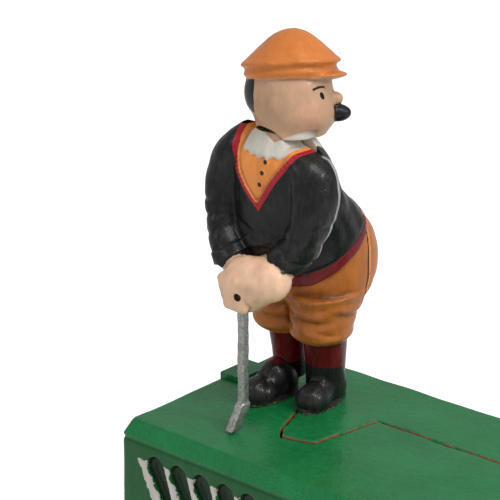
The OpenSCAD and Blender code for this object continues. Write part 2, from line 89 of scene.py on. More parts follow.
CUP_R = 13.0
ROD_X = 9.0
ROD_Y = -7.9
ROD_RISE = 2.4
print("golfer at", GOLFER.round(1), "and the pivot", round(float(PIVOT_Z), 1), "above the deck")

# %% [markdown]
# ## Camera and light
#
# A long lens looks down at the golfer from the front right. The light is a white tent: a bright
# world, a wide soft box overhead and a smaller one at the front left.

# %% Camera
AZIMUTH = 41.11
ELEVATION = 19.14
AIM = Vector((-0.0349, -0.0621, 0.1221))
DISTANCE = 0.48
LENS = 129.6


def away(azimuth, elevation):
    """Unit vector from the aim towards a camera at that azimuth and elevation, in degrees."""
    a, e = np.radians(azimuth), np.radians(elevation)
    return Vector((np.sin(a) * np.cos(e), -np.cos(a) * np.cos(e), np.sin(e)))


def make_camera():
    """A camera on the line from the aim, its -Z axis along that line."""
    data = bpy.data.cameras.new("camera")
    data.lens = LENS
    data.sensor_width = 36
    camera = bpy.data.objects.new("camera", data)
    back = away(AZIMUTH, ELEVATION)
    camera.location = AIM + DISTANCE * back
    camera.rotation_euler = back.to_track_quat("Z", "Y").to_euler()
    bpy.context.collection.objects.link(camera)
    bpy.context.scene.camera = camera


make_camera()
print("camera", AZIMUTH, "degrees round and", ELEVATION, "degrees up")

# %% Lights
LIGHTS_AIM = Vector((-0.05, 0, 0.08))
TENT_SEEN = 1.0
TENT_LIGHT = 0.46


def soft_box(name, azimuth, elevation, distance, size, power):
    """A round area light that faces the golfer. Its size is in metres and its power in watts."""
    data = bpy.data.lights.new(name, "AREA")
    data.shape = "DISK"
    data.size = size
    data.energy = power
    light = bpy.data.objects.new(name, data)
    back = away(azimuth, elevation)
    light.location = LIGHTS_AIM + distance * back
    light.rotation_euler = back.to_track_quat("Z", "Y").to_euler()
    bpy.context.collection.objects.link(light)


def make_world(seen, lighting):
    """A white world, as bright as seen behind the object and as lighting on it."""
    world = bpy.data.worlds.new("tent")
    bpy.context.scene.world = world
    world.use_nodes = True
    tree = world.node_tree
    path = tree.nodes.new("ShaderNodeLightPath")
    choose = tree.nodes.new("ShaderNodeMix")
    choose.inputs[2].default_value = lighting
    choose.inputs[3].default_value = seen
    tree.links.new(path.outputs["Is Camera Ray"], choose.inputs[0])
    tree.links.new(choose.outputs[0], tree.nodes["Background"].inputs["Strength"])
    tree.nodes["Background"].inputs["Color"].default_value = (1, 1, 1, 1)


make_world(TENT_SEEN, TENT_LIGHT)
soft_box("overhead", 80, 62, 0.9, 0.45, 3.2)
soft_box("right", 100, 35, 0.9, 0.22, 2.2)
soft_box("front_left", -20, 35, 0.9, 0.30, 0.6)
bpy.context.scene.view_settings.view_transform = "Standard"
print("a white tent and", len(bpy.data.lights), "soft boxes")

# %% [markdown]
# ## Solids as formulas
#
# A solid is a function of x, y and z that gives roughly the distance to its surface, negative
# inside. Two solids join with a soft minimum, which fills the corner between them with a fillet,
# and one is cut by another with a soft maximum.


# %% Joining and cutting
def join(a, b, fillet=1.0):
    """Union of two solids with a fillet of about that size in the corner between them."""
    h = np.clip(0.5 + 0.5 * (b - a) / fillet, 0, 1)
    return b * (1 - h) + a * h - fillet * h * (1 - h)


def keep(a, b, fillet=0.3):
    """What two solids share, with its edges rounded by about the fillet."""
    return -join(-a, -b, fillet)


def cut(a, b, fillet=0.3):
    """The first solid with the second taken out of it."""
    return keep(a, -b, fillet)


print("two walls a millimetre apart, joined with a fillet of 2, give", join(0.0, 1.0, 2.0))


# %% Simple solids
def ellipsoid(x, y, z, centre, radii):
    """The point is scaled to a unit ball; its length there, less 1, is divided by the slope."""
    q = [(v - c) / r for v, c, r in zip((x, y, z), centre, radii)]
    near = np.sqrt(sum(v * v for v in q))
    slope = np.sqrt(sum((v / r) ** 2 for v, r in zip(q, radii)))
    return near * (near - 1) / np.maximum(slope, 1e-4)


def cone(x, y, z, a, b, ra, rb):
    """A round-ended bar from a to b, with one radius at each end."""
    a, b = np.array(a, float), np.array(b, float)
    d = b - a
    t = np.clip(((x - a[0]) * d[0] + (y - a[1]) * d[1] + (z - a[2]) * d[2]) / (d @ d), 0, 1)
    away_x, away_y, away_z = x - a[0] - t * d[0], y - a[1] - t * d[1], z - a[2] - t * d[2]
    return np.sqrt(away_x**2 + away_y**2 + away_z**2) - (ra + t * (rb - ra))


def block(x, y, z, low, high, corner=0.0):
    """A box between two corners, its edges rounded by the corner radius."""
    q = [np.abs(v - (a + b) / 2) - (b - a) / 2 + corner for v, a, b in zip((x, y, z), low, high)]
    outside = np.sqrt(sum(np.maximum(v, 0) ** 2 for v in q))
    return outside + np.minimum(np.maximum(np.maximum(q[0], q[1]), q[2]), 0) - corner


print("3 mm from the middle of a ball of radius 2:", ellipsoid(3.0, 0, 0, (0, 0, 0), (2, 2, 2)))


# %% Solids through level ovals
def curve(t, points, column):
    """A smooth curve through the points' column, each point starting with its own t."""
    at = np.array([p[0] for p in points], float)
    v = np.array([p[column] for p in points], float)
    slope = np.gradient(v, at)
    i = np.clip(np.searchsorted(at, t) - 1, 0, len(at) - 2)
    h = at[i + 1] - at[i]
    s = np.clip((t - at[i]) / h, 0, 1)
    return (v[i] * (1 + 2 * s) * (1 - s) ** 2 + v[i + 1] * s * s * (3 - 2 * s)
            + h * s * (1 - s) * (slope[i] * (1 - s) - slope[i + 1] * s))


def stack(x, y, z, rings, grow=0.0):
    """A solid through level ovals. A ring is (height, x, y, half width, half depth)."""
    levels = np.linspace(rings[0][0], rings[-1][0], 300)
    cx, cy, rx, ry = (np.interp(z, levels, curve(levels, rings, column)) for column in (1, 2, 3, 4))
    rx, ry = rx + grow, ry + grow
    q = np.sqrt(((x - cx) / rx) ** 2 + ((y - cy) / ry) ** 2)
    side = (q - 1) * np.minimum(rx, ry)
    return np.maximum(side, np.maximum(rings[0][0] - grow - z, z - rings[-1][0] - grow))


print("a tube of rings at its edge:", stack(2.0, 0, 1.0, [(0, 0, 0, 2, 2), (2, 0, 0, 2, 2)]))


# %% Waves, creases and bands
def hand_made(x, y, z, size, height):
    """Slow waves that take the machine look off a cast surface: bumps of about that size."""
    k = 2 * np.pi / size
    return height * (np.sin(k * (x + 0.6 * z)) * np.sin(k * (0.8 * y + 0.3 * x) + 1.3)
                     + 0.6 * np.sin(k * 1.9 * (z - 0.4 * y) + 0.7) * np.sin(k * 1.7 * (x + 0.5 * y)))


def crease(x, y, z, place, direction, reach, depth):
    """A soft valley through a place, square to the direction, that dies away at the reach."""
    dx, dy, dz = x - place[0], y - place[1], z - place[2]
    a, b, c = np.array(direction) / np.linalg.norm(direction)
    off = (a * dx + b * dy + c * dz) / 0.9
    return depth * np.exp(-off * off - (dx * dx + dy * dy + dz * dz) / reach**2)


def window(v, low, high, soft):
    """1 between low and high, falling to 0 over the soft distance outside them."""
    rise = np.clip((v - low) / soft + 1, 0, 1)
    fall = np.clip((high - v) / soft + 1, 0, 1)
    return rise * rise * (3 - 2 * rise) * fall * fall * (3 - 2 * fall)


print("a band from 0 to 4, half a millimetre outside it:", window(4.5, 0, 4, 1))


# %% [markdown]
# ## From a formula to a mesh
#
# The formula is sampled on a box grid, whose lines may be closer together where there is detail.
# Each cell that the surface crosses gets one vertex, the mean of the points where the cell's edges
# cross it, and each crossed grid line gets one quad that joins the four cells round it. The result
# is closed, and every quad faces outwards.


# %% From a formula to a mesh
def skin(solid, lines):
    """Points and outward quads of the surface on which the solid's formula is 0."""
    x, y, z = np.meshgrid(*(line.astype(np.float32) for line in lines), indexing="ij")
    value = solid(x, y, z).astype(np.float32)
    inside = value < 0
    shape = [n - 1 for n in inside.shape]
    corners = np.zeros(shape, np.int8)
    for i in (0, 1):
        for j in (0, 1):
            for k in (0, 1):
                corners += inside[i:i + shape[0], j:j + shape[1], k:k + shape[2]]
    crossed = (corners > 0) & (corners < 8)
    cells = np.argwhere(crossed)
    number = np.full(shape, -1)
    number[crossed] = np.arange(len(cells))
    total, count = np.zeros((len(cells), 3)), np.zeros(len(cells))
    for axis in range(3):
        others = [other for other in range(3) if other != axis]
        for i in (0, 1):
            for j in (0, 1):
                start = cells.copy()
                start[:, others[0]] += i
                start[:, others[1]] += j
                end = start.copy()
                end[:, axis] += 1
                v0, v1 = value[tuple(start.T)], value[tuple(end.T)]
                cuts = (v0 < 0) != (v1 < 0)
                t = np.where(cuts, v0 / np.where(cuts, v0 - v1, 1), 0)
                for column, line in enumerate(lines):
                    p0, p1 = line[start[:, column]], line[end[:, column]]
                    total[:, column] += np.where(cuts, p0 + t * (p1 - p0), 0)
                count += cuts
    points = total / count[:, None]
    quads = []
    for axis, (a, b) in ((0, (1, 2)), (1, (2, 0)), (2, (0, 1))):
        inner = [slice(1, -1)] * 3
        inner[axis] = slice(None, -1)
        after = list(inner)
        after[axis] = slice(1, None)
        first = inside[tuple(inner)]
        where = np.argwhere(first != inside[tuple(after)])
        out = first[tuple(where.T)]
        where[:, a] += 1
        where[:, b] += 1
        ring = []
        for da, db in ((1, 1), (0, 1), (0, 0), (1, 0)):
            cell = where.copy()
            cell[:, a] -= da
            cell[:, b] -= db
            ring.append(number[tuple(cell.T)])
        ring = np.stack(ring, 1)
        quads.append(np.where(out[:, None], ring, ring[:, ::-1]))
    return points, np.concatenate(quads)


# %% Hollows and swellings
def bulge(points, quads, rounds):
    """How far each vertex stands out from its neighbours, averaged over that many rounds."""
    a, b = quads.ravel(), np.roll(quads, -1, 1).ravel()
    size = len(points)
    count = np.bincount(a, minlength=size) + np.bincount(b, minlength=size)

    def mean(values):
        return (np.bincount(a, values[b], size) + np.bincount(b, values[a], size)) / count

    smooth = points
    for _ in range(rounds):
        smooth = np.stack([mean(smooth[:, axis]) for axis in range(3)], 1)
    corner = points[quads]
    face = np.cross(corner[:, 2] - corner[:, 0], corner[:, 3] - corner[:, 1])
    owner = quads.ravel()
    normal = np.stack([np.bincount(owner, np.repeat(face[:, axis], 4), size) for axis in range(3)], 1)
    normal /= np.maximum(np.linalg.norm(normal, axis=1), 1e-9)[:, None]
    out = ((points - smooth) * normal).sum(1)
    for _ in range(2):
        out = 0.5 * out + 0.5 * mean(out)
    return out


# %% Mesh objects
def mesh_object(name, points, quads, marks, material, offset=(0, 0, 0)):
    """An object at the origin from points in millimetres, with one float attribute for each mark."""
    mesh = bpy.data.meshes.new(name)
    mesh.vertices.add(len(points))
    mesh.vertices.foreach_set("co", ((points + np.array(offset)) * MM).ravel())
    mesh.loops.add(quads.size)
    mesh.loops.foreach_set("vertex_index", quads.ravel().astype(np.int32))
    mesh.polygons.add(len(quads))
    mesh.polygons.foreach_set("loop_start", np.arange(0, quads.size, 4, dtype=np.int32))
    mesh.update(calc_edges=True)
    mesh.polygons.foreach_set("use_smooth", np.ones(len(quads), bool))
    for mark, values in marks.items():
        layer = mesh.attributes.new(mark, "FLOAT", "POINT")
        layer.data.foreach_set("value", np.asarray(values, np.float32))
    mesh.materials.append(material)
    made = bpy.data.objects.new(name, mesh)
    bpy.context.collection.objects.link(made)
    return made


def casting(name, solid, lines, marks, material, body, nodes, offset=(0, 0, 0)):
    """Meshes one solid, keeps its paint marks and hides the CAD nodes it stands for."""
    points, quads = skin(solid, lines)
    kept = {mark: rule(*points.T) for mark, rule in marks.items()}
    kept["edge"] = bulge(points, quads, 1)
    kept["swell"] = bulge(points, quads, 12)
    made = mesh_object(name, points, quads, kept, material, offset)
    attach(made, body)
    if nodes:
        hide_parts(*nodes)
    print(name, len(quads), "quads")
    return made


def lines(*stretches):
    """Grid lines from stretches of (start, end, spacing), each starting where the last one ended."""
    parts = [np.arange(start, end, spacing) for start, end, spacing in stretches]
    return np.append(np.concatenate(parts), stretches[-1][1])


print("grid lines in two stretches:", lines((0, 1, 0.5), (1, 3, 1.0)))


# %% [markdown]
# ## Paint and metal
#
# The real bank wears thick brushed enamel over iron. Four effects are shared, so each is a node
# group that the materials place with their own values: a hand-painted border, brush strokes,
# handling (dirt with painted shade in hollows, a painted sheen on swellings and bare iron on
# edges) and the grain of bare metal.

# %% Helpers for node trees
def node(tree, kind, inputs, **settings):
    """Adds a node, sets its properties and fills its sockets from values or other nodes' outputs."""
    made = tree.nodes.new(kind)
    for key, value in settings.items():
        setattr(made, key, value)
    for name, value in inputs.items():
        if isinstance(value, bpy.types.NodeSocket):
            tree.links.new(value, made.inputs[name])
        else:
            made.inputs[name].default_value = value
    return made


def noise(tree, scale, detail=3.0, stretch=(1, 1, 1)):
    """Noise in object space at that many waves a metre, drawn out along an axis by the stretch."""
    place = tree.nodes.new("ShaderNodeTexCoord").outputs["Object"]
    drawn = node(tree, "ShaderNodeMapping", {"Vector": place, "Scale": stretch}).outputs[0]
    pins = {"Vector": drawn, "Scale": scale, "Detail": detail}
    return node(tree, "ShaderNodeTexNoise", pins).outputs["Fac"]


def maths(tree, operation, a, b):
    """One sum on two values, such as ADD or MULTIPLY."""
    return node(tree, "ShaderNodeMath", {0: a, 1: b}, operation=operation).outputs[0]


def centred(tree, value, reach):
    """Noise from 0 to 1, made to swing about 0 and multiplied by the reach."""
    return maths(tree, "MULTIPLY", maths(tree, "SUBTRACT", value, 0.5), reach)


def ramp(tree, value, low, high, to_low=0.0, to_high=1.0):
    """A straight line from (low, to_low) to (high, to_high), level beyond them."""
    pins = {"Value": value, "From Min": low, "From Max": high, "To Min": to_low, "To Max": to_high}
    return node(tree, "ShaderNodeMapRange", pins).outputs[0]


def mix(tree, factor, a, b):
    """Colour a where the factor is 0 and b where it is 1."""
    return node(tree, "ShaderNodeMix", {0: factor, 6: a, 7: b}, data_type="RGBA").outputs[2]


def mark_of(tree, name):
    """The value that each vertex keeps under that name."""
    return node(tree, "ShaderNodeAttribute", {}, attribute_name=name).outputs["Fac"]


def new_group(name, inputs, outputs):
    """An empty shader group. Inputs are (name, starting value): a number or a colour."""
    tree = bpy.data.node_groups.new(name, "ShaderNodeTree")
    for title, value in inputs:
        kind = "NodeSocketColor" if isinstance(value, tuple) else "NodeSocketFloat"
        tree.interface.new_socket(title, in_out="INPUT", socket_type=kind).default_value = value
    for title in outputs:
        kind = "NodeSocketColor" if title == "Color" else "NodeSocketFloat"
        tree.interface.new_socket(title, in_out="OUTPUT", socket_type=kind)
    return tree, tree.nodes.new("NodeGroupInput").outputs, tree.nodes.new("NodeGroupOutput").inputs


def place_group(tree, group, inputs):
    """Places a shared group and gives its outputs."""
    return node(tree, "ShaderNodeGroup", inputs, node_tree=group).outputs


def report(group):
    print(group.name, "has", len(group.nodes), "nodes")
    return group


# %% [markdown]
# ## A hand-painted border
#
# Each colour was brushed up to its neighbour by hand, so no edge is straight. Noise pushes a mark on
# the mesh to and fro before it is cut off, which is easier to change than a modelled edge.


# %% A hand-painted border
def border_group():
    """Mask = the mark, moved to and fro by noise, past the offset."""
    pins = [("Mark", 0.0), ("Offset", 0.0), ("Waver", 0.3)]
    tree, given, out = new_group("painted_border", pins, ["Mask"])
    swing = centred(tree, noise(tree, 650, 3), given["Waver"])
    past = maths(tree, "SUBTRACT", maths(tree, "ADD", given["Mark"], swing), given["Offset"])
    tree.links.new(ramp(tree, past, -0.06, 0.06), out["Mask"])
    return tree


BORDER = report(border_group())


# %% [markdown]
# ## Brush strokes
#
# Thick enamel keeps the tracks of its brush. One noise, drawn out along the height, shades the
# colour, varies the gloss and raises the surface, so the three agree.


# %% Brush strokes
def brush_group():
    """Colour times a streaky shade, roughness that follows the streaks, and their height."""
    pins = [("Color", (0.5, 0.5, 0.5, 1)), ("Streak", 0.18), ("Rough", 0.34)]
    tree, given, out = new_group("brush_strokes", pins, ["Color", "Roughness", "Height"])
    streaks = noise(tree, 430, 4, (1, 1, 0.35))
    broad = noise(tree, 70, 2)
    spread = maths(tree, "MULTIPLY", centred(tree, streaks, given["Streak"]), 4.0)
    drift = centred(tree, broad, 0.5)
    shade = maths(tree, "ADD", maths(tree, "ADD", spread, drift), 1.0)
    tinted = node(tree, "ShaderNodeHueSaturation", {"Color": given["Color"], "Value": shade})
    tree.links.new(tinted.outputs[0], out["Color"])
    roughness = maths(tree, "ADD", given["Rough"], ramp(tree, streaks, 0.3, 0.7, -0.08, 0.12))
    tree.links.new(roughness, out["Roughness"])
    orange_peel = maths(tree, "MULTIPLY", noise(tree, 1500, 2), 0.45)
    tree.links.new(maths(tree, "ADD", streaks, orange_peel), out["Height"])
    return tree


BRUSH = report(brush_group())


# %% [markdown]
# ## Handling
#
# Hands leave dirt in the hollows and rub the edges down to iron. The hollows are also darkened as
# painted shade, and the swellings lightened as a painted sheen. All of these follow how far the
# surface stands out from what is round it, which each mesh keeps as a mark.

# %% Handling
IRON = (0.075, 0.062, 0.052, 1)
# The dark of dirt and of painted shade in hollows. The base also paints the slit of its seam with it, as painted
# shadow.
GRIME_AND_SHADE = (0.010, 0.008, 0.006, 1)


def handling_group():
    """Dirt and painted shade where the surface is hollow, a painted sheen where it swells, iron on rubbed edges.
    """
    pins = [("Color", (0.5, 0.5, 0.5, 1)), ("Edge", 0.0), ("Swell", 0.0), ("Grime And Shade", 0.5), ("Wear", 0.5),
            ("Sheen", 0.0), ("Sheen Color", (0.2, 0.2, 0.2, 1))]
    tree, given, out = new_group("handling", pins, ["Color"])
    patches = noise(tree, 260, 4)
    streaks = noise(tree, 900, 4, (1, 1, 0.25))
    # Dirt and painted shade: the more hollow the surface, the darker it is painted.
    dark = maths(tree, "MULTIPLY", ramp(tree, given["Swell"], -0.02, -0.22), given["Grime And Shade"])
    colour = mix(tree, dark, given["Color"], GRIME_AND_SHADE)
    # Painted sheen: swelling surfaces, broken into streaks, are lightened as painted highlights.
    lift = maths(tree, "ADD", given["Swell"], centred(tree, streaks, 0.5))
    sheen = maths(tree, "MULTIPLY", ramp(tree, lift, 0.02, 0.22), given["Sheen"])
    colour = mix(tree, sheen, colour, given["Sheen Color"])
    sharp = maths(tree, "ADD", given["Edge"], centred(tree, patches, 0.16))
    rubbed = maths(tree, "MULTIPLY", ramp(tree, sharp, 0.075, 0.095), given["Wear"])
    tree.links.new(mix(tree, rubbed, colour, IRON), out["Color"])
    return tree


HANDLING = report(handling_group())


# %% [markdown]
# ## Grain of bare metal
#
# Old iron and plated screws are speckled, with patches of tarnish that shine less.


# %% Grain of bare metal
def grain_group():
    """Colour darkened in specks and tarnished in patches, with a roughness and a height."""
    pins = [("Color", (0.5, 0.5, 0.5, 1)), ("Tarnish Color", (0.2, 0.15, 0.1, 1)), ("Tarnish", 0.3),
            ("Rough", 0.4)]
    tree, given, out = new_group("metal_grain", pins, ["Color", "Roughness", "Height"])
    specks = noise(tree, 1500, 4)
    patches = noise(tree, 260, 3)
    worn = maths(tree, "MULTIPLY", ramp(tree, patches, 0.46, 0.62), given["Tarnish"])
    colour = mix(tree, worn, given["Color"], given["Tarnish Color"])
    shade = ramp(tree, specks, 0.35, 0.6, 0.6, 1.05)
    dark = node(tree, "ShaderNodeHueSaturation", {"Color": colour, "Value": shade})
    tree.links.new(dark.outputs[0], out["Color"])
    roughness = maths(tree, "ADD", given["Rough"], ramp(tree, specks, 0.3, 0.7, 0.12, -0.08))
    tree.links.new(roughness, out["Roughness"])
    tree.links.new(specks, out["Height"])
    return tree


GRAIN = report(grain_group())


# %% [markdown]
# ## Enamel and bare metal
#
# An enamel starts from its ground colour. Each layer of paint covers it where a mark kept on the
# mesh says so; some layers are painted shade. Then the shared groups add brush strokes, dirt with
# painted shade, a painted sheen and wear. A value that is the same all over, such as the gloss of
# the coat, is set on the shader itself.


# %% Enamel and metal
def new_material(name):
    """A material with its node tree and its shader."""
    material = bpy.data.materials.new(name)
    material.use_nodes = True
    return material, material.node_tree, material.node_tree.nodes["Principled BSDF"]


def enamel(name, ground, layers=(), rough=0.30, streak=0.16, grime_and_shade=0.5, wear=0.5, sheen=0.0,
           sheen_colour=(0.2, 0.2, 0.2, 1), stipple=None, coat=0.12):
    """Brushed enamel. A layer is (mark, offset, colour, waver) and lies over the ones before it."""
    material, tree, shader = new_material(name)
    colour = ground
    for mark, offset, paint, waver in layers:
        pins = {"Mark": mark_of(tree, mark), "Offset": offset, "Waver": waver}
        colour = mix(tree, place_group(tree, BORDER, pins)["Mask"], colour, paint)
    brushed = place_group(tree, BRUSH, {"Color": colour, "Streak": streak, "Rough": rough})
    handled = place_group(tree, HANDLING, {"Color": brushed["Color"], "Edge": mark_of(tree, "edge"),
                                           "Swell": mark_of(tree, "swell"), "Grime And Shade": grime_and_shade, "Wear": wear,
                                           "Sheen": sheen, "Sheen Color": sheen_colour})
    tree.links.new(handled["Color"], shader.inputs["Base Color"])
    tree.links.new(brushed["Roughness"], shader.inputs["Roughness"])
    height = brushed["Height"]
    if stipple:
        dabs = maths(tree, "MULTIPLY", ramp(tree, mark_of(tree, stipple), 0.0, 0.2), 2.2)
        height = maths(tree, "ADD", height, maths(tree, "MULTIPLY", noise(tree, 1100, 2), dabs))
    relief = node(tree, "ShaderNodeBump", {"Height": height, "Strength": 0.45, "Distance": 0.0005})
    tree.links.new(relief.outputs[0], shader.inputs["Normal"])
    shader.inputs["Coat Weight"].default_value = coat
    shader.inputs["Coat Roughness"].default_value = 0.14
    shader.inputs["Specular IOR Level"].default_value = 0.24
    print(name, "is enamel with", len(layers), "layers of paint on its ground")
    return material


def metal(name, colour, rough, tarnish=0.3, tarnish_colour=(0.12, 0.07, 0.04, 1), depth=0.3):
    """Bare metal with a grain and patches of tarnish."""
    material, tree, shader = new_material(name)
    grain = place_group(tree, GRAIN, {"Color": colour, "Tarnish Color": tarnish_colour, "Tarnish": tarnish,
                                      "Rough": rough})
    tree.links.new(grain["Color"], shader.inputs["Base Color"])
    tree.links.new(grain["Roughness"], shader.inputs["Roughness"])
    relief = node(tree, "ShaderNodeBump", {"Height": grain["Height"], "Strength": depth, "Distance": 0.0004})
    tree.links.new(relief.outputs[0], shader.inputs["Normal"])
    shader.inputs["Metallic"].default_value = 0.85
    print(name, "is bare metal")
    return material


# %% Colours
GREEN = (0.008, 0.170, 0.048, 1)
BRIGHT_GREEN = (0.006, 0.195, 0.054, 1)
# The walls are painted a darker copy of the deck's green as painted shade.
SHADED_WALL_GREEN = (0.005, 0.105, 0.023, 1)
# The hollows in the walls are painted a dark green as painted shade.
SHADED_HOLLOW_GREEN = (0.001, 0.030, 0.006, 1)
ORANGE = (0.66, 0.205, 0.044, 1)
BREECHES = (0.47, 0.140, 0.022, 1)
PALE_ORANGE = (0.90, 0.31, 0.07, 1)
FLESH = (0.54, 0.325, 0.200, 1)
PALE_FLESH = (0.84, 0.53, 0.35, 1)
BLACK = (0.009, 0.009, 0.009, 1)
RED = (0.42, 0.010, 0.022, 1)
# The hem is painted a darker copy of the red as painted shade.
SHADED_HEM_RED = (0.17, 0.004, 0.008, 1)
# The socks are painted a very dark red as painted shade.
SHADED_SOCK_RED = (0.12, 0.001, 0.004, 1)
WHITE = (0.60, 0.56, 0.49, 1)
DOT_BLACK = (0.004, 0.003, 0.003, 1)
RIB_WHITE = (0.62, 0.58, 0.53, 1)
RUST = (0.22, 0.10, 0.045, 1)
RIDGE_GREY = (0.42, 0.38, 0.36, 1)
PARTING_BROWN = (0.06, 0.02, 0.012, 1)
SOLE_TAN = (0.30, 0.19, 0.13, 1)
BACK_GREY = (0.33, 0.33, 0.32, 1)
BLUSH = (0.60, 0.33, 0.21, 1)
# Light greys painted on swellings of the black paint as a painted sheen.
SHOE_SHEEN = (0.25, 0.24, 0.23, 1)
SLEEVE_SHEEN = (0.20, 0.20, 0.19, 1)
print("the green ground is", GREEN[:3])

# %% [markdown]
# ## The base
#
# A tapered box of iron with a rounded shelf of a band round the deck. The long walls carry a row
# of slanted, arch-topped hollows with thin ribs between them, brushed white. The walls are painted
# a darker green than the deck as painted shade, and the hollows darker still as painted shade. A
# zigzag seam divides the deck into two castings, whose raw edges show; the narrow slit between them
# is painted near black as painted shadow. A bevelled box with pieces taken out of it would need
# every rim rounded afterwards; as a formula the rims come out rounded.

# %% The seam
SEAM_FROM_GOLFER = [(6.1, -7.5), (13.0, -25.6), (16.5, -30.3), (27.1, -26.7), (31.8, -1.3)]
SEAM_BACK_SLOPE = -0.382
SEAM_RIGHT_Y = -1.3
SEAM_HALF_GAP = 0.3


def seam_line():
    """The seam's corners in plan, from past the back wall to past the right end."""
    first = np.array(SEAM_FROM_GOLFER[0]) + GOLFER[:2]
    back_y = BASE_W / 2 + 6
    points = [(first[0] + SEAM_BACK_SLOPE * (back_y - first[1]), back_y)]
    points += [(GOLFER[0] + dx, GOLFER[1] + dy) for dx, dy in SEAM_FROM_GOLFER]
    points.append((BASE_L / 2 + 6, GOLFER[1] + SEAM_RIGHT_Y))
    return np.array(points)


SEAM = seam_line()


def seam_distance(x, y):
    """Distance in plan from the seam, positive on the rear casting's side."""
    near = np.full(x.shape, 1e3, np.float32)
    for a, b in zip(SEAM[:-1], SEAM[1:]):
        d = b - a
        t = np.clip(((x - a[0]) * d[0] + (y - a[1]) * d[1]) / (d @ d), 0, 1)
        near = np.minimum(near, np.hypot(x - a[0] - t * d[0], y - a[1] - t * d[1]))
    behind = y > np.interp(x, SEAM[:, 0], SEAM[:, 1])
    behind &= x > SEAM[0, 0]
    return np.where(behind, near, -near)



print("the seam turns at", SEAM.round(1).tolist())

# %% The outer skin and its hollows
RIB_PITCH = 9.6
RIB_LEAN = np.tan(np.radians(25))
RIB_TOP = DECK_Z - BAND_H - 2.6
RIB_BOTTOM = RIB_TOP - 17
RIB_COUNT = int((DECK_L - 16) / RIB_PITCH)
SCOOP_TOP_R = 4.05
SCOOP_LOW_R = 2.4
SCOOP_DEPTH = 2.4
STROKE_HALF = 1.75
print(RIB_COUNT, "hollows in a row")


def stand_out(z):
    """How far the outer skin stands out past the deck's edge at height z."""
    top = DECK_Z - BAND_H
    profile = [(0, FLARE), (0.5 * top, 2.7), (top - 0.9, 2.5), (top - 0.3, 2.0), (top + 0.35, 2.2),
               (top + 1.0, BAND_OUT), (DECK_Z - 0.3, 0.25), (DECK_Z + 3, -0.2)]
    return np.interp(z, [p[0] for p in profile], [p[1] for p in profile])


def leaning(x, z):
    """Across and along the nearest slanted hollow of a row, from its middle."""
    middle = (RIB_TOP + RIB_BOTTOM) / 2
    upright = x + RIB_LEAN * (z - middle)
    turn = np.clip(np.round(upright / RIB_PITCH - 0.5) + 0.5, -(RIB_COUNT - 1) / 2, (RIB_COUNT - 1) / 2)
    cosine = 1 / np.hypot(1, RIB_LEAN)
    across = (upright - turn * RIB_PITCH) * cosine
    return across, (z - middle) / cosine - across * RIB_LEAN


def scoop(x, z):
    """Distance in the wall's plane from the nearest hollow: round-topped and narrower below."""
    across, along = leaning(x, z)
    half = (RIB_TOP - RIB_BOTTOM) / 2
    radius = np.interp(along, (-half, half - SCOOP_TOP_R), (SCOOP_LOW_R, SCOOP_TOP_R))
    over = np.maximum(along - half + SCOOP_TOP_R, 0) + np.maximum(-half + SCOOP_LOW_R - along, 0)
    return np.hypot(across, over) - radius


def crest(x, z):
    """Distance inside the white brushed on the rib between two hollows."""
    across, _ = leaning(x, z)
    rib = RIB_PITCH / np.hypot(1, RIB_LEAN) / 2
    stroke = STROKE_HALF - np.abs(np.abs(across) - rib)
    ends = np.minimum(RIB_TOP - 3.0 - z, z - RIB_BOTTOM - 0.6)
    return np.minimum(np.minimum(scoop(x, z) + 0.25, stroke), ends)


# %% The two base castings
NOTCH_HALF = 7.5
BOSS_IN = 5.5
BOSS_R = 4.5
BOSS_LOW = 5.5
BOSS_HIGH = 17.5
DECK_BORE_R = 1.9
LUG_SIDE = 4.9
LUG_HALF = 1.5
print("the notch for the trigger is", 2 * NOTCH_HALF, "wide and the walls are", WALL)


def base_shell(x, y, z):
    """Box with a flared skin and scooped walls, hollow from below, with the trigger's notch."""
    out = stand_out(z)
    side_x = np.abs(x) - (DECK_L / 2 + out)
    side_y = np.abs(y) - (DECK_W / 2 + out)
    hand = hand_made(x, y, z, 34, 0.10)
    solid = keep(keep(side_x, side_y, 1.6), z - DECK_Z + hand * 0.7, 0.9) + hand * 0.5
    solid = np.maximum(solid, -z)
    depth = SCOOP_DEPTH * window(-scoop(x, z), 1.1, 99, 1.1)
    solid = solid + depth * window(np.abs(y), DECK_W / 2 - 1.5, 99, 1.0)
    room = block(x, y, z, (-DECK_L / 2 + WALL - STEP, -DECK_W / 2 + WALL - STEP, -9),
                 (DECK_L / 2 - WALL + STEP, DECK_W / 2 - WALL + STEP, DECK_Z - WALL), 1.0)
    solid = cut(solid, room, 0.3)
    notch = block(x, y, z, (-BASE_L, GOLFER[1] - NOTCH_HALF, DECK_Z - 12),
                  (-DECK_L / 2 + 8.5, GOLFER[1] + NOTCH_HALF, DECK_Z + 9), 0.6)
    return cut(solid, notch, 0.5)


def bosses(x, y, z):
    """Six posts inside the walls that take the screws of the bottom plate."""
    solid = np.full(x.shape, 99.0, np.float32)
    for px in (-1, 0, 1):
        for py in (-1, 1):
            cx, cy = px * (DECK_L / 2 - BOSS_IN), py * (DECK_W / 2 - BOSS_IN)
            post = np.maximum(np.hypot(x - cx, y - cy) - BOSS_R, np.maximum(BOSS_LOW - z, z - BOSS_HIGH))
            solid = np.minimum(solid, post)
    return solid


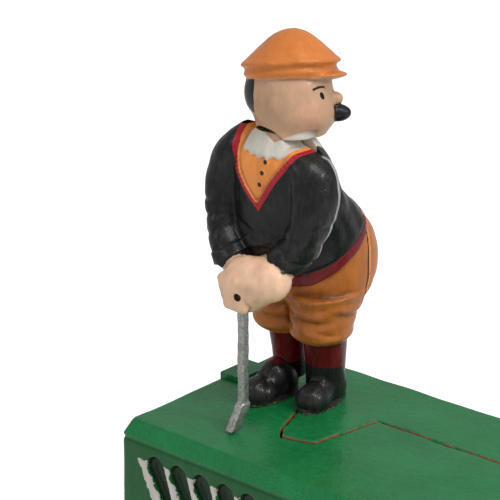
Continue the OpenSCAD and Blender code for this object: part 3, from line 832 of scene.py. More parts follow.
def front_solid(x, y, z):
    """The shell in front of the seam, with the cup, its collar and the trigger's lugs."""
    apart = seam_distance(x, y) + SEAM_HALF_GAP + hand_made(x, y, z, 7, 0.10)
    solid = join(base_shell(x, y, z), bosses(x, y, z), 0.6)
    ring = np.hypot(x - CUP[0], y - CUP[1])
    collar = np.maximum(ring - CUP_R - 2.5, np.maximum(DECK_Z - 12 - z, z - DECK_Z + 1))
    solid = join(solid, collar, 0.8)
    solid = cut(solid, ring - CUP_R, 0.7)
    solid = keep(solid, apart, 0.5)
    for side in (-1, 1):
        middle = GOLFER[1] + side * LUG_SIDE
        lug = block(x, y, z, (LEVER[0] - 4, middle - LUG_HALF, LEVER[2] - 4),
                    (LEVER[0] + 4, middle + LUG_HALF, DECK_Z - 2))
        solid = join(solid, lug, 0.5)
    return solid


def rear_solid(x, y, z):
    """The shell behind the seam, a little proud at the tongue's corner, with the rod's hole."""
    apart = -seam_distance(x, y) + SEAM_HALF_GAP + hand_made(x, y, z, 6, 0.10)
    corner = SEAM[3]
    proud = 0.75 * np.exp(-np.hypot(x - corner[0], y - corner[1]) / 13)
    solid = join(base_shell(x, y, z - proud), bosses(x, y, z), 0.6)
    solid = keep(solid, apart, 0.5)
    rod_x = GOLFER[0] + ROD_X
    return cut(solid, np.hypot(x - rod_x, y - GOLFER[1]) - DECK_BORE_R, 0.2)


# %% Green enamel and the base
BASE_LINES = [
    lines((-110, -30, 0.64), (-30, 110, 1.15)),
    lines((-43, -36, 0.45), (-36, -20, 1.35), (-20, -13, 0.52), (-13, 9.4, 0.95), (9.4, 13, 0.32),
          (13, 36, 1.6), (36, 43, 0.5)),
    lines((-1, 1, 0.5), (1, 14, 1.6), (14, 34, 0.68), (34, 46, 0.55)),
]
BASE_MARKS = {
    "raw": lambda x, y, z: 0.50 - np.abs(seam_distance(x, y)) - 0.35 * np.maximum(DECK_Z - 2 - z, 0),
    # The seam's narrow slit on the deck is marked for near black paint, as painted shadow.
    "gap": lambda x, y, z: 0.45 - np.abs(seam_distance(x, y)) - np.where(z < DECK_Z - 0.5, 0, 9),
    "wall": lambda x, y, z: DECK_Z - BAND_H - 0.2 - z,
    "crest": lambda x, y, z: np.where(np.abs(y) > DECK_W / 2 - 1, crest(x, z), -2.0),
    # The hollows are marked for a dark green of painted shade.
    "hollow": lambda x, y, z: np.where(np.abs(y) > DECK_W / 2 - 4, -scoop(x, z) - 0.5, -3.0),
    "band": lambda x, y, z: window(z, DECK_Z - BAND_H + 0.6, DECK_Z - 0.9, 0.5)
    * (np.maximum(np.abs(x) - DECK_L / 2, np.abs(y) - DECK_W / 2) > -0.2) - 0.5,
}
# The walls take a darker green as painted shade, the hollows a darker green still as painted shade, and the seam's
# slit near black as painted shadow.
green = enamel("green_enamel", GREEN,
               [("wall", 0.0, SHADED_WALL_GREEN, 0.2), ("band", 0.0, BRIGHT_GREEN, 0.3),
                ("hollow", 0.0, SHADED_HOLLOW_GREEN, 0.5), ("crest", 0.0, RIB_WHITE, 2.2),
                ("raw", 0.0, RUST, 2.4), ("gap", 0.0, GRIME_AND_SHADE, 0.3)],
               rough=0.24, streak=0.10, grime_and_shade=0.35, wear=0.25, stipple="band")
casting("base_front_casting", front_solid, BASE_LINES, BASE_MARKS, green, "base",
        ["base_front"])
casting("base_rear_casting", rear_solid, BASE_LINES, BASE_MARKS, green, "base",
        ["base_rear"])

# %% [markdown]
# ## The golfer's body
#
# Trunk and legs in one, hollow, cut into a front and a rear half on an upright plane. The jersey
# ends in a red hem that slopes from low in front to high behind, painted a darker red as painted
# shade. Below it the breeches bulge in level folds over red socks, painted a very dark red as
# painted shade. The trunk and legs are ovals stacked up a curve, because cloth over a round body
# changes slowly with height, and the folds are waves laid on that.

# %% The body's sizes
TRUNK = [(33, 0, 4, 17, 12.5), (40, 0, 5.5, 20, 17), (48, 0, 6, 20.5, 18.2), (56, 0, 4, 20, 17.7),
         (64, 0, -1.3, 19.5, 15.6), (72, 0, -8.2, 18.8, 12.6), (80, 0, -12, 18.6, 11.5),
         (86, 0, -13.5, 16.5, 10), (90, 0, -13, 11.5, 8.5)]
LEFT_LEG = [(21.6, 8, -0.5, 7.8, 8), (23.6, 8.5, -1, 9.2, 10), (29, 8.6, -0.5, 9.6, 11.5),
            (38, 9, 1, 10.5, 14)]
RIGHT_LEG = [(22.2, -6.4, -0.5, 7.4, 8), (24.2, -6.8, -1, 8.8, 10), (29, -7.2, -0.5, 9.4, 11.5),
             (38, -8, 1, 10.5, 14)]
LEFT_SOCK = [(5, 8.2, 1.5, 6, 6.6), (12, 8.2, 1.5, 6.2, 6.8), (23, 8.3, 1, 6.9, 7.6)]
RIGHT_SOCK = [(5, -6.2, 1, 5, 6), (12, -6.2, 1, 5.2, 6.2), (23, -6.4, 0.5, 6.2, 7.5)]
LEFT_SHOE = np.array([9.2, 0.2])
RIGHT_SHOE = np.array([-6.0, -7.0])
HEM_SLOPE = 0.93
HEM_Z = 53.3
HEM_HALF = 1.5
CHEST_LOW = 50.5
PARTING_Y = 7.0
CHEST_BACK = -12.0
CHEST_GAP = 0.5
CLOTH_WALL = 2.6
PIVOT_BORE_R = 2.1
EYE_ROOM_R = 3.1
ROD_BORE_R = 1.8
KNEE_LOW = 46
KNEE_HIGH = 60
BREECHES_CREASES = [((10, -10, 31), (0.1, 0, 1), 7), ((-7, -10, 29), (0, 0.1, 1), 7),
                    ((15, 0, 33), (0.5, 0.2, 1), 7), ((14, -6, 26), (0, 0.3, 1), 5)]
print("trunk from", TRUNK[0][0], "to", TRUNK[-1][0], "above the deck")


# %% Hem and shoes
def hem(y, z):
    """Distance from the middle of the sloping hem, positive above it."""
    bend = 0.02 * np.maximum(y, 0) ** 2 + 0.04 * np.maximum(-8 - y, 0) ** 2
    return (z - HEM_Z - HEM_SLOPE * y - bend) / np.hypot(1, HEM_SLOPE)


def shoe(x, y, z, at, turned):
    """A high shoe on a flat sole, its toe towards -Y and turned out by that many degrees."""
    c, s = np.cos(np.radians(turned)), np.sin(np.radians(turned))
    x, y = (x - at[0]) * c + (y - at[1]) * s, (y - at[1]) * c - (x - at[0]) * s
    toe = ellipsoid(x, y, z, (0, -7.4, 3.4), (5.7, 6.0, 4.6))
    upper = ellipsoid(x, y, z, (0, 1.6, 4.4), (5.3, 8.2, 8.2))
    solid = join(toe, upper, 2.5)
    sole = np.maximum((np.hypot(x / 5.7, (y + 1.8) / 11.8) - 1) * 5.7, z - 1.3)
    solid = join(solid, sole, 0.8)
    cap = (np.hypot(x / 6.2, (y + 12.5) / 6.6) - 1) * 5
    solid = solid + 0.25 * window(-np.abs(cap), -0.4, 9, 0.4) * window(z, 2, 9, 1)
    tongue = window(-np.abs(x), -2.5, 9, 0.5) * window(z, 6.5, 99, 1) * window(-y, -1.5, 99, 1)
    return np.maximum(solid - 0.35 * tongue, -z)


print("the hem is at", hem(0.0, HEM_Z), "from its own middle on the axis")


# %% Trunk, legs and the room inside
def cloth(x, y, z):
    """Trunk and breeches with their folds."""
    solid = stack(x, y, z, TRUNK)
    legs = np.minimum(stack(x, y, z, LEFT_LEG), stack(x, y, z, RIGHT_LEG))
    solid = join(solid, legs, 2.2)
    h = hem(y, z)
    waves = np.sin(2 * np.pi * (z + 0.12 * x - 0.08 * y + 0.9 * np.sin(0.33 * x + 0.2 * y)) / 4.9)
    low = window(z, 22, 37, 5) * window(-h, HEM_HALF + 2, 99, 4)
    solid = solid - 0.17 * waves * low
    for place, way, reach in BREECHES_CREASES:
        solid = solid + crease(x, y, z, place, way, reach, 0.5)
    solid = solid - 0.40 * window(h, -HEM_HALF + 0.3, HEM_HALF - 0.3, 0.5)
    solid = solid - 0.45 * window(h, HEM_HALF + 1.0, 40, 1.4)
    pleats = np.sin(2 * np.pi * (y + 0.35 * z + 0.8 * np.sin(0.4 * z)) / 6.3)
    return solid - 0.16 * pleats * window(h, HEM_HALF + 4, 40, 3) * window(z, 44, 74, 5)


def body_solid(x, y, z):
    """Cloth, socks and shoes, less the room inside, the swinging chest and the ways of the rod."""
    solid = cloth(x, y, z) + hand_made(x, y, z, 17, 0.12)
    for sock, at, turned in ((LEFT_SOCK, LEFT_SHOE, 8), (RIGHT_SOCK, RIGHT_SHOE, -4)):
        solid = join(solid, stack(x, y, z, sock), 0.5)
        solid = join(solid, shoe(x, y, z, at, turned), 0.4)
    room = stack(x, y, z, TRUNK[:-1], -CLOTH_WALL)
    for leg in (LEFT_LEG, RIGHT_LEG):
        room = np.minimum(room, stack(x, y, z, leg[1:], -CLOTH_WALL))
    room = np.maximum(room, CHEST_BACK + CHEST_GAP + 2.4 - y)
    solid = cut(solid, room, 0.3)
    rise = z - PIVOT_Z
    solid = cut(solid, np.maximum(y - CHEST_BACK - CHEST_GAP, CHEST_LOW - z), 0.4)
    solid = cut(solid, np.maximum(np.hypot(x, rise) - PIVOT_BORE_R, y + 3.6), 0.1)
    crank = np.abs(z - CRANK[2] - ROD_RISE / 2)
    crank = np.hypot(x - CRANK[0], np.maximum(crank - ROD_RISE / 2, 0))
    solid = cut(solid, np.maximum(crank - EYE_ROOM_R, y + 6), 0.1)
    for lift in (0, ROD_RISE / 2, ROD_RISE):
        low, high = (ROD_X, 0, KNEE_LOW + lift), (ROD_X, ROD_Y, KNEE_HIGH + lift)
        solid = cut(solid, cone(x, y, z, low, high, ROD_BORE_R, ROD_BORE_R), 0.1)
    low, high = (ROD_X, ROD_Y, KNEE_HIGH), (ROD_X, ROD_Y, CRANK[2])
    solid = cut(solid, cone(x, y, z, low, high, ROD_BORE_R, ROD_BORE_R), 0.1)
    return cut(solid, np.maximum(np.hypot(x - ROD_X, y) - ROD_BORE_R, z - 26), 0.1)


print("the rod's way is", 2 * ROD_BORE_R, "wide")


# %% Paint on the body
def shoe_top(x, y, z):
    """Distance below the tops of the shoes, the right one being lower."""
    return np.where(x < 1, 11.0, 12.9) - 0.10 * y - z


BODY_MARKS = {
    "breeches": lambda x, y, z: np.minimum(-hem(y, z) - HEM_HALF, z - 20.6),
    "hem": lambda x, y, z: HEM_HALF - np.abs(hem(y, z)),
    "sock": lambda x, y, z: np.minimum(22.0 - z, -shoe_top(x, y, z)),
    "sole": lambda x, y, z: 0.55 - z,
    "collar": lambda x, y, z: np.minimum(z - 84.5, 12.0 - np.hypot(x - 2.5, y + 8.0)),
    "ridge": lambda x, y, z: np.minimum(0.55 - np.abs(y - PARTING_Y - 0.4), 21.0 - z),
    "parting": lambda x, y, z: 0.32 - np.abs(y - PARTING_Y - 0.1),
    "chipped": lambda x, y, z: np.minimum(0.4 - np.abs(y - PARTING_Y - 0.9), z - 21),
}
# The hem and the socks are painted darker reds as painted shade, and the sheen colour paints highlights on
# swellings.
body_paint = enamel("body_enamel", BLACK,
                    [("breeches", 0.0, BREECHES, 0.35), ("hem", 0.0, SHADED_HEM_RED, 0.7),
                     ("sock", 0.0, SHADED_SOCK_RED, 0.3), ("collar", 0.0, WHITE, 0.3),
                     ("chipped", 0.0, PALE_ORANGE, 1.6), ("ridge", 0.0, RIDGE_GREY, 0.8),
                     ("parting", 0.0, PARTING_BROWN, 0.3), ("sole", 0.0, SOLE_TAN, 2.2)],
                    rough=0.27, streak=0.13, grime_and_shade=0.6, wear=0.2, sheen=0.07, sheen_colour=SHOE_SHEEN)

# %% The two halves of the body
BODY_LINES = [lines((-24, 24, 0.45)), lines((-24, 28, 0.45)), lines((-1, 93, 0.45))]
REAR_LOW = 20.0


def front_half(x, y, z):
    """The body in front of the parting, and all of it below the knees."""
    behind = np.minimum(y - PARTING_Y, z - REAR_LOW)
    return keep(body_solid(x, y, z), behind, 0.35)


def rear_half(x, y, z):
    """The body behind the parting, down to the knees."""
    before = np.maximum(PARTING_Y + 0.2 - y, REAR_LOW + 0.2 - z)
    return keep(body_solid(x, y, z), before, 0.35)


casting("body_front_half", front_half, BODY_LINES, BODY_MARKS, body_paint, "base",
        ["golfer_front"], GOLFER)
casting("body_rear_half", rear_half, BODY_LINES, BODY_MARKS, body_paint, "base",
        ["golfer_rear"], GOLFER)

# %% [markdown]
# ## Chest, sleeves and hands
#
# One flat-backed casting, open behind. The neckline is a ribbed red V with a vest, three buttons
# and a scalloped shirt front inside it, and the hands close round the putter. The
# relief is cut by the same distances that paint it, so paint and relief always agree.

# %% The sizes of chest and sleeves
CHEST = [(47, 1.5, -17, 10, 4.5), (50, 1.5, -16, 12, 6.2), (54, 1.3, -14.8, 14.5, 8.4),
         (58, 1, -14, 16.2, 9.7), (62, 1, -13.2, 17.5, 10.3), (66, 1.5, -12.5, 18.3, 10.8),
         (74, 2, -13, 18.5, 11.1), (81, 2, -13, 17.5, 11.2), (86, 2, -13, 15.5, 9.8),
         (88.6, 2.2, -12.8, 12.8, 8.0), (91.5, 2.4, -12.6, 10.0, 6.2)]
LEFT_ARM = [(57, 13.4, -19.0, 5.6, 8.0), (62, 16.2, -17.6, 6.0, 8.8), (70, 17.6, -15.8, 6.6, 9.3),
            (78, 16.5, -14.5, 7.4, 9), (84, 14, -14, 7.2, 8.5), (89, 11, -13.5, 4, 5.5)]
RIGHT_ARM = [(50, -9.4, -21.0, 5.0, 8.6), (56, -12.6, -19, 5.7, 9.8), (62, -15.2, -17, 6.0, 10),
             (70, -17.0, -15.5, 6.7, 9.5), (78, -16.1, -14.5, 7.5, 9), (84, -14, -14, 7.5, 8.5),
             (89, -12.0, -13.5, 5, 6.2), (92.4, -11.0, -13.0, 1.2, 3.0)]
COLLAR = [(80, 2.5, -14, 12, 8.5), (86, 2.6, -13.8, 12.0, 8.8), (90, 2.8, -13.2, 10.0, 7.6),
          (95, 3, -12.6, 7.5, 5.6)]
BACK_EDGE = [(44, -20.0), (50, -19.4), (57, -17.2), (64, -14.8), (72, -12.6), (80, -12.0)]
SWING = np.radians(15)
SHOULDER_RISE = 8.3
NECK_R = 11.2
NECK_SIDE = -7.9
SHAFT = np.array([3.0, -32.5])
HOLE_Z = 43.8
V_BOTTOM = (1.6, 68.0)
V_LEFT = [(V_BOTTOM[1], V_BOTTOM[0]), (74, -4.6), (79, -8.6), (84, -10.6), (92, -11.8)]
V_RIGHT = [(V_BOTTOM[1], V_BOTTOM[0]), (79, 9.0), (92, 18.0)]
TRIM_W = 1.75
TRIM_RIB = 1.45
BUTTONS = [(4.1, 84.0), (3.1, 80.5), (2.0, 76.6)]
TRIM_RELIEF = 0.50
SHIRT_RELIEF = 0.45
THROAT_SINK = 0.60
SHAFT_HALF = 1.45
SHAFT_TOP = 41
SOCKET_R = 1.6
PIN_HOLE_R = 1.15
CUFF_EDGE = [(-14, 48.0), (-9, 50.6), (-2, 56.2), (5, 57.4), (11, 55.2), (13.5, 54.4), (17.5, 50.0),
             (22, 50.0)]
SLEEVE_CREASES = [((12.5, -22, 62), (0.3, 0.1, -1), 5, 0.6), ((13, -24, 58), (0.9, 0.2, -1), 5, 0.5),
                  ((22, -16, 66), (0.2, 0, -1), 5, 0.4), ((21, -18, 60), (0.6, 0, -1), 5, 0.4),
                  ((-20, -22, 68), (0.1, 0, 1), 6, 0.35), ((-19, -24, 63), (-0.3, 0, 1), 6, 0.35),
                  ((-16, -26, 58), (-0.5, 0, 1), 5, 0.3), ((-5, -24, 62), (0.4, 0, 1), 8, 0.4),
                  ((6, -24, 58), (-0.5, 0, 1), 7, 0.4), ((-12, -22, 78), (1, 0, -0.3), 7, 0.3)]
print(len(BUTTONS), "buttons and", len(SLEEVE_CREASES), "creases")


# %% Paint edges on the chest
def neckline(x, z):
    """Distance inside the V of the jersey, negative outside it."""
    left = (x - curve(z, V_LEFT, 1)) * 0.88
    right = (curve(z, V_RIGHT, 1) - x) * 0.82
    below = (z - V_BOTTOM[1]) * 0.6
    return np.minimum(np.minimum(left, right), below)


def shirt(x, z):
    """Distance inside the shirt front, whose lower edge is scalloped."""
    edge = 84.3 + 0.9 * np.abs(np.sin(np.pi * (x - 1.0) / 3.6)) + 0.10 * np.abs(x - 2)
    return np.minimum(z - edge, neckline(x, z) - TRIM_W - 1.5)


def throat(x, z):
    """Distance inside the bare throat between the collar's wings."""
    return (z - 89.6 - 0.5 * np.abs(x - 5.0)) * 0.9


def cuff(x, z):
    """Distance below the sleeves' ragged ends."""
    return np.interp(x, [p[0] for p in CUFF_EDGE], [p[1] for p in CUFF_EDGE]) - z


def back_edge(z):
    """Where the casting's open back ends, which draws forwards below the elbows."""
    return np.interp(z, [p[0] for p in BACK_EDGE], [p[1] for p in BACK_EDGE])


print("the shirt stands", round(float(shirt(2.0, 86.0)), 2), "inside its edge at the top button")


# %% Hands
def hands(x, y, z):
    """A fist over a fist, with the backs of the fingers just standing out."""
    right = ellipsoid(x, y, z, (1.0, -28.6, 45.8), (8.4, 6.8, 8.8))
    left = ellipsoid(x, y, z, (8.2, -27.6, 48.6), (8.2, 6.8, 7.0))
    solid = join(right, left, 3.5)
    for i in range(4):
        a = (-6.4 + 1.4 * i, -31.6 - 0.6 * i, 47.0 - 2.3 * i)
        b = (1.8 + 1.0 * i, -34.0, 46.0 - 2.1 * i)
        solid = join(solid, cone(x, y, z, a, b, 1.5, 1.3), 1.6)
    thumb = cone(x, y, z, (9.4, -32.4, 48.6), (2.6, -34.6, 48.2), 1.8, 1.4)
    return join(solid, thumb, 1.6)


# %% One casting of chest, sleeves and hands
def arms_solid(x, y, z):
    """Chest and sleeves with their reliefs, hollow behind, joined to the hands, then trimmed to swing."""
    chest = join(stack(x, y, z, CHEST), stack(x, y, z, COLLAR), 2.5)
    v = neckline(x, z)
    front = window(-y, -CHEST_BACK + 2, 99, 2)
    ribs = 0.75 + 0.25 * np.sin(2 * np.pi * (z + 0.35 * np.abs(x - V_BOTTOM[0])) / TRIM_RIB)
    chest = chest - front * TRIM_RELIEF * ribs * window(v, 0, TRIM_W, 0.35)
    chest = chest + front * TRIM_RELIEF * window(v, TRIM_W + 0.4, 99, 0.4)
    chest = chest - front * SHIRT_RELIEF * window(shirt(x, z), 0.3, 99, 0.3)
    chest = chest + front * THROAT_SINK * window(throat(x, z), 0.2, 99, 0.4)
    left, right = stack(x, y, z, LEFT_ARM), stack(x, y, z, RIGHT_ARM)
    forearm = cone(x, y, z, (15.6, -20.0, 59.5), (7.8, -25.6, 49.0), 5.9, 4.9)
    left = join(left, forearm, 2.2)
    right = join(right, cone(x, y, z, (-14.0, -20.5, 57.0), (-6.2, -25.2, 50.6), 5.6, 4.6), 2.2)
    sleeves = np.minimum(left, right)
    solid = join(chest, sleeves, 1.0)
    for place, way, reach, depth in SLEEVE_CREASES:
        solid = solid + crease(x, y, z, place, way, reach, depth)
    fist = hands(x, y, z)
    solid = join(solid, fist, 0.7)
    solid = solid - 0.45 * window(-cuff(x, z), 0.2, 4, 0.7) * window(z, 42, 60, 3) * window(-y, 20, 99, 3)
    for bx, bz in BUTTONS:
        dot = np.hypot(x - bx, z - bz)
        solid = solid - front * 0.45 * window(-dot, -0.55, 9, 0.5)
    solid = solid + hand_made(x, y, z, 13, 0.10)
    room = np.maximum(np.maximum(np.abs(x) - 12, 64 - z), z - 85)
    solid = cut(solid, np.maximum(stack(x, y, z, CHEST, -CLOTH_WALL), room), 0.4)
    rise = z - PIVOT_Z
    boss = np.maximum(np.hypot(x, rise) - 3.6, -21 - y)
    stub = np.maximum(np.hypot(x - CRANK[0], z - CRANK[2]) - 2.8, -20 - y)
    solid = join(solid, np.minimum(boss, stub), 0.5)
    solid = keep(solid, y - back_edge(z), 0.25)
    swung = rise * np.cos(SWING) + x * np.sin(SWING)
    shoulders = np.maximum(rise, swung) - SHOULDER_RISE
    collar = np.hypot(x, rise) - NECK_R
    beside = np.maximum(x - NECK_SIDE, rise - NECK_R + 0.1)
    solid = keep(solid, np.minimum(np.minimum(shoulders, collar), beside), 0.3)
    hole = np.maximum(np.hypot(x - SHAFT[0], z - HOLE_Z) - PIN_HOLE_R, y + 30)
    solid = cut(solid, hole, 0.3)
    return cut(solid, np.maximum(np.hypot(x - SHAFT[0], y - SHAFT[1]) - SOCKET_R, z - SHAFT_TOP), 0.1)


# %% Jersey, trim and vest
ARMS_MARKS = {
    "neckline": lambda x, y, z: neckline(x, z),
    "shirt": lambda x, y, z: shirt(x, z),
    "throat": lambda x, y, z: throat(x, z),
    "button": lambda x, y, z: 0.75 - np.min([np.hypot(x - bx, z - bz) for bx, bz in BUTTONS], axis=0)
    - np.where(y < CHEST_BACK - 4, 0, 9.0),
    "cuff": lambda x, y, z: np.minimum(cuff(x, z), 0.9 - hands(x, y, z)),
    "backs": lambda x, y, z: np.minimum(y - back_edge(z) + 1.5, 86 - z),
    # The putter's pin hole is painted black as painted shade.
    "bore_shade": lambda x, y, z: 1.25 - np.hypot(x - SHAFT[0], z - HOLE_Z),
}
# The ring round the pin hole is painted black as painted shade.
arms_paint = enamel("jersey_enamel", BLACK,
                    [("neckline", 0.0, RED, 0.35), ("neckline", TRIM_W, PALE_ORANGE, 0.25),
                     ("shirt", 0.0, WHITE, 0.2), ("throat", 0.0, FLESH, 0.25),
                     ("button", 0.0, DOT_BLACK, 0.1), ("cuff", 0.0, PALE_FLESH, 1.3),
                     ("backs", 0.0, BACK_GREY, 0.35), ("bore_shade", 0.0, DOT_BLACK, 0.1)],
                    rough=0.31, streak=0.12, grime_and_shade=0.5, wear=0.2, sheen=0.10, sheen_colour=SLEEVE_SHEEN)
ARMS_LINES = [lines((-27, 27, 0.34)), lines((-38, -11, 0.34)), lines((36, 92, 0.34))]
casting("arms_and_chest", arms_solid, ARMS_LINES, ARMS_MARKS, arms_paint, "arms",
        ["arms_casting"], GOLFER)

# %% [markdown]
# ## Head and cap
#
# The head looks along the base towards the cup. Its face is a plain doll's: an eye dot under a
# brow on each side, a button nose, round cheeks and a short black stub at the mouth. Balls
# joined with wide fillets give it the fullness of a casting.

# %% The sizes of head and cap
HEAD = np.array([1.2, -8.6, 101.5])
TURN = np.radians(30)
CAP_LIFT = 0.095
CAP_TIP = 0.19
CAP_EDGE = 107.1
CAP = [(106.8, 0, 0, 13.0, 12.4), (107.6, 0, 0, 13.6, 12.7), (108.4, 0, 0, 14.2, 13.1),
       (109.8, 0, 0, 13.9, 12.8), (110.3, 0, 0, 14.0, 12.9), (111.1, 0, 0, 15.0, 13.8),
       (113.4, 0, 0, 13.2, 12.2), (116.0, 0, 0, 10.6, 9.8), (118.0, 0, 0, 8.4, 7.8),
       (120.0, 0, 0, 5.8, 5.4), (121.2, 0, 0, 3.4, 3.2), (121.8, 0, 0, 1.4, 1.4)]
NECK_FRONT = [(88, 2.7, -13.5, 10.6, 8.2), (90, 2.8, -13.2, 10.2, 7.7), (96, 3, -12.6, 9.2, 6.6)]
JOWL_LOW = 93.4
EYE_Z = 103.4
EYE_SIDE = 7.6
MOUTH_Z = 96.6
NECK_GAP = 0.15
print("the head's middle is", HEAD[2], "above the deck")


# %% Head and cap
def face_axes(x, y, z):
    """Forwards from the head's middle, across to its left, and the height in the tipped cap."""
    dx, dy = x - HEAD[0], y - HEAD[1]
    forward = dx * np.cos(TURN) + dy * np.sin(TURN)
    side = -dx * np.sin(TURN) + dy * np.cos(TURN)
    return forward, side, z - CAP_LIFT * forward + CAP_TIP * side


def head_solid(x, y, z):
    """A ball with jowls, chin, nose, ears and hair, a stack of rings for the cap, and the neck."""
    forward, side, level = face_axes(x, y, z)
    up = z - HEAD[2]
    solid = ellipsoid(forward, side, up, (-0.4, 0, 1.5), (13.2, 13.2, 12.4))
    jowl = ellipsoid(forward, np.abs(side), up, (2.6, 4.4, -4.4), (11.2, 8.8, 7.4))
    solid = join(solid, jowl, 3.5)
    chin = ellipsoid(forward, side, up, (9.0, 0, -6.2), (4.8, 5.6, 3.4))
    solid = join(solid, chin, 2.5)
    nose = ellipsoid(forward, side, up, (13.6, 0, -0.6), (2.5, 2.2, 2.1))
    solid = join(solid, nose, 1.2)
    ear = ellipsoid(forward, np.abs(side), up, (-2.5, 12.6, -0.5), (2.0, 1.0, 2.6))
    solid = join(solid, ear, 0.9)
    solid = solid + crease(forward, np.abs(side), up, (3.5, 12.6, -1.0), (1, 0, -0.8), 4.5, 0.35)
    hair = ellipsoid(forward, side, up, (-4.2, 0, 0.8), (9.8, 12.2, 9.6))
    solid = join(solid, np.maximum(hair, forward + 8.6), 0.5)
    whiskers = ellipsoid(forward, side, up, (14.2, 0, MOUTH_Z - HEAD[2]), (4.4, 3.0, 2.7))
    solid = join(solid, whiskers, 0.5)
    neck = stack(x, y, z, [(90.5, 1.8, -9, 11.5, 9), (93, 2.2, -9.2, 12, 9.4), (97, 2.5, -9.5, 12.5, 10)])
    solid = join(solid, neck, 2.0)
    dome = stack(forward, side, level, CAP)
    peak = np.maximum(ellipsoid(forward, side, level, (7.6, 0, 106.9), (9.6, 9.6, 1.7)), -forward)
    solid = join(solid, join(dome, peak, 1.4), 0.3)
    solid = solid + crease(forward, side, level, (9, -10, 109.6), (0.25, 0, 1), 9, 0.5)
    solid = solid + hand_made(x, y, z, 15, 0.10)
    behind = y - CHEST_BACK - 0.3
    solid = cut(solid, np.maximum(z - JOWL_LOW, behind), 0.4)
    solid = join(solid, stack(x, y, z, NECK_FRONT), 1.2)
    rise = z - PIVOT_Z
    under = np.minimum(np.hypot(x, rise) - NECK_R - NECK_GAP, rise - SHOULDER_RISE - NECK_GAP)
    solid = cut(solid, np.maximum(under, behind), 0.2)
    return np.maximum(solid, 90.5 - z)


# %% Paint on the head
def cap_mark(x, y, z):
    """Height above the cap's lower edge, which dips a little in front."""
    forward, _, level = face_axes(x, y, z)
    return level - CAP_EDGE + 0.04 * np.clip(forward, 0, 20)


def hair_mark(x, y, z):
    """Distance inside the hair at the back of the head."""
    forward, _, _ = face_axes(x, y, z)
    return np.minimum(-9.4 - forward, z - 98.6 + 0.25 * (forward + 14))


def eye_mark(x, y, z):
    """Distance inside two upright oval dots."""
    forward, side, _ = face_axes(x, y, z)
    dot = np.hypot((np.abs(side) - EYE_SIDE) / 0.85, (z - EYE_Z) / 1.35)
    return 0.85 - dot - np.where(forward > 4, 0, 9)


def brow_mark(x, y, z):
    """Distance inside a thin arch over each dot."""
    forward, side, _ = face_axes(x, y, z)
    arch = EYE_Z + 2.6 - 0.11 * (np.abs(side) - EYE_SIDE) ** 2
    near = (forward > 4) & (np.abs(np.abs(side) - EYE_SIDE) < 2.3)
    return 0.34 - np.abs(z - arch) - np.where(near, 0, 9)


def whiskers_mark(x, y, z):
    """Distance inside the black stub at the mouth."""
    forward, side, _ = face_axes(x, y, z)
    return 1 - np.hypot(side / 4.2, (z - MOUTH_Z) / 3.4) - np.where(forward > 12.0, 0, 9)


def blush_mark(x, y, z):
    """Distance inside a round patch on each cheek."""
    forward, side, _ = face_axes(x, y, z)
    return 4.0 - np.sqrt((forward - 7) ** 2 + (z - 98) ** 2 + 0.3 * (np.abs(side) - 10) ** 2)


def head_shirt(x, y, z):
    """The shirt's collar where it goes on up the neck."""
    return np.minimum(np.minimum(JOWL_LOW - z, -throat(x, z)), 0.7 - stack(x, y, z, NECK_FRONT))


HEAD_MARKS = {"shirt": head_shirt, "cap": cap_mark, "hair": hair_mark, "eye": eye_mark, "brow": brow_mark,
              "whiskers": whiskers_mark, "blush": blush_mark}
head_paint = enamel("head_enamel", FLESH,
                    [("shirt", 0.0, WHITE, 0.3), ("blush", 0.0, BLUSH, 5.0), ("hair", 0.0, BLACK, 0.6),
                     ("eye", 0.0, DOT_BLACK, 0.05), ("brow", 0.0, DOT_BLACK, 0.15),
                     ("whiskers", 0.0, BLACK, 0.1), ("cap", 0.0, ORANGE, 0.25)],
                    rough=0.30, streak=0.07, wear=0.1, grime_and_shade=0.22)
HEAD_LINES = [lines((-15, 25, 0.36)), lines((-27, 8, 0.36)), lines((89, 124, 0.36))]
casting("head_and_cap", head_solid, HEAD_LINES, HEAD_MARKS, head_paint, "base",
        ["head_casting"], GOLFER)

# %% [markdown]
# ## Putter
#
# Bare grey iron, straight from the hands to a blade that is cast with the shaft. Two
# rounded blocks and a fillet are all that it needs.


# %% Putter
def putter_solid(x, y, z):
    """A square shaft with a blade across its foot that leans a little."""
    shaft = block(x, y, z, (SHAFT[0] - SHAFT_HALF, SHAFT[1] - SHAFT_HALF, 5),
                  (SHAFT[0] + SHAFT_HALF, SHAFT[1] + SHAFT_HALF, SHAFT_TOP), 0.8)
    along = y - SHAFT[1] + 0.4 + 0.66 * np.maximum(8 - z, 0)
    blade = block(x, along, z, (SHAFT[0] - 1.3, -2.1, 0.6), (SHAFT[0] + 1.5, 2.3, 8.4), 0.45)
    return join(shaft, blade, 1.2) + hand_made(x, y, z, 9, 0.07)


bare = metal("bare_iron", (0.44, 0.44, 0.42, 1), 0.40, tarnish=0.35, tarnish_colour=(0.20, 0.19, 0.15, 1),
             depth=0.6)
PUTTER_LINES = [lines((0, 8, 0.25)), lines((-41, -29, 0.25)), lines((0, 48, 0.3))]
casting("putter_casting", putter_solid, PUTTER_LINES, {}, bare, "arms", ["putter"], GOLFER)

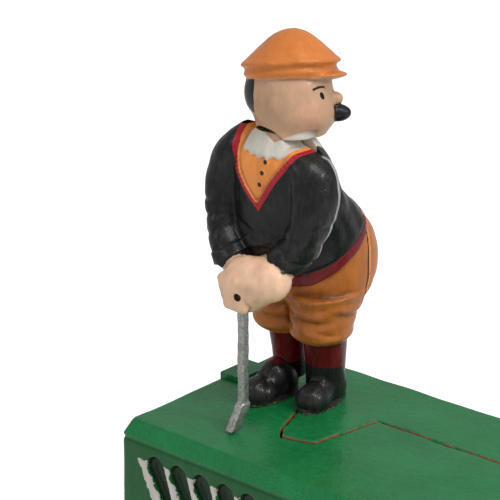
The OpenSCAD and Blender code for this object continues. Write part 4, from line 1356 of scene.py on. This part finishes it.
# %% [markdown]
# ## The other pieces keep their CAD form
#
# Fasteners, sheet steel, the trigger and the flag take a material that suits their slot; the putter's pin instead
# takes a near black iron, as painted shade in its hole.

# %% Other pieces
# The putter's pin is near black iron, as painted shade in its hole.
bore_dark = metal("shadowed_iron", (0.02, 0.018, 0.016, 1), 0.6)
FINISHES = {
    "base_green": enamel("lever_enamel", GREEN, streak=0.12),
    "steel": metal("plated_steel", (0.50, 0.49, 0.47, 1), 0.30, tarnish=0.25),
    "sheet_steel": metal("sheet_steel", (0.30, 0.29, 0.27, 1), 0.42, tarnish=0.5),
    "white_paint": enamel("white_enamel", WHITE),
    "red_paint": enamel("red_enamel", RED),
    "bare_iron": bare,
}
for part in frame["record"]["subparts"]:
    finish = bore_dark if part["node"] == "putter_pin" else FINISHES.get(part["material_slot"])
    if finish:
        mesh = frame["nodes"][part["node"]].data
        mesh.materials.clear()
        mesh.materials.append(finish)
print(len(FINISHES) + 1, "finishes for the pieces that keep their form")

# %% [markdown]
# ## The floor
#
# A wide sheet of white paper. It glows a little, but only as the camera sees it, so it looks white
# without lighting the iron from below.

# %% Floor
FLOOR_GLOW = 0.55
FLOOR_REACH = 6.0


def make_floor():
    """One square on the ground."""
    mesh = bpy.data.meshes.new("floor")
    corners = [(FLOOR_REACH * i, FLOOR_REACH * j, 0) for i, j in ((-1, -1), (1, -1), (1, 1), (-1, 1))]
    mesh.from_pydata(corners, [], [(0, 1, 2, 3)])
    material, tree, shader = new_material("paper")
    shader.inputs["Base Color"].default_value = (0.9, 0.9, 0.9, 1)
    shader.inputs["Roughness"].default_value = 0.8
    shader.inputs["Emission Color"].default_value = (1, 1, 1, 1)
    seen = tree.nodes.new("ShaderNodeLightPath").outputs["Is Camera Ray"]
    tree.links.new(maths(tree, "MULTIPLY", seen, FLOOR_GLOW), shader.inputs["Emission Strength"])
    mesh.materials.append(material)
    floor = bpy.data.objects.new("floor", mesh)
    bpy.context.collection.objects.link(floor)


make_floor()
print("floor", 2 * FLOOR_REACH, "m across")
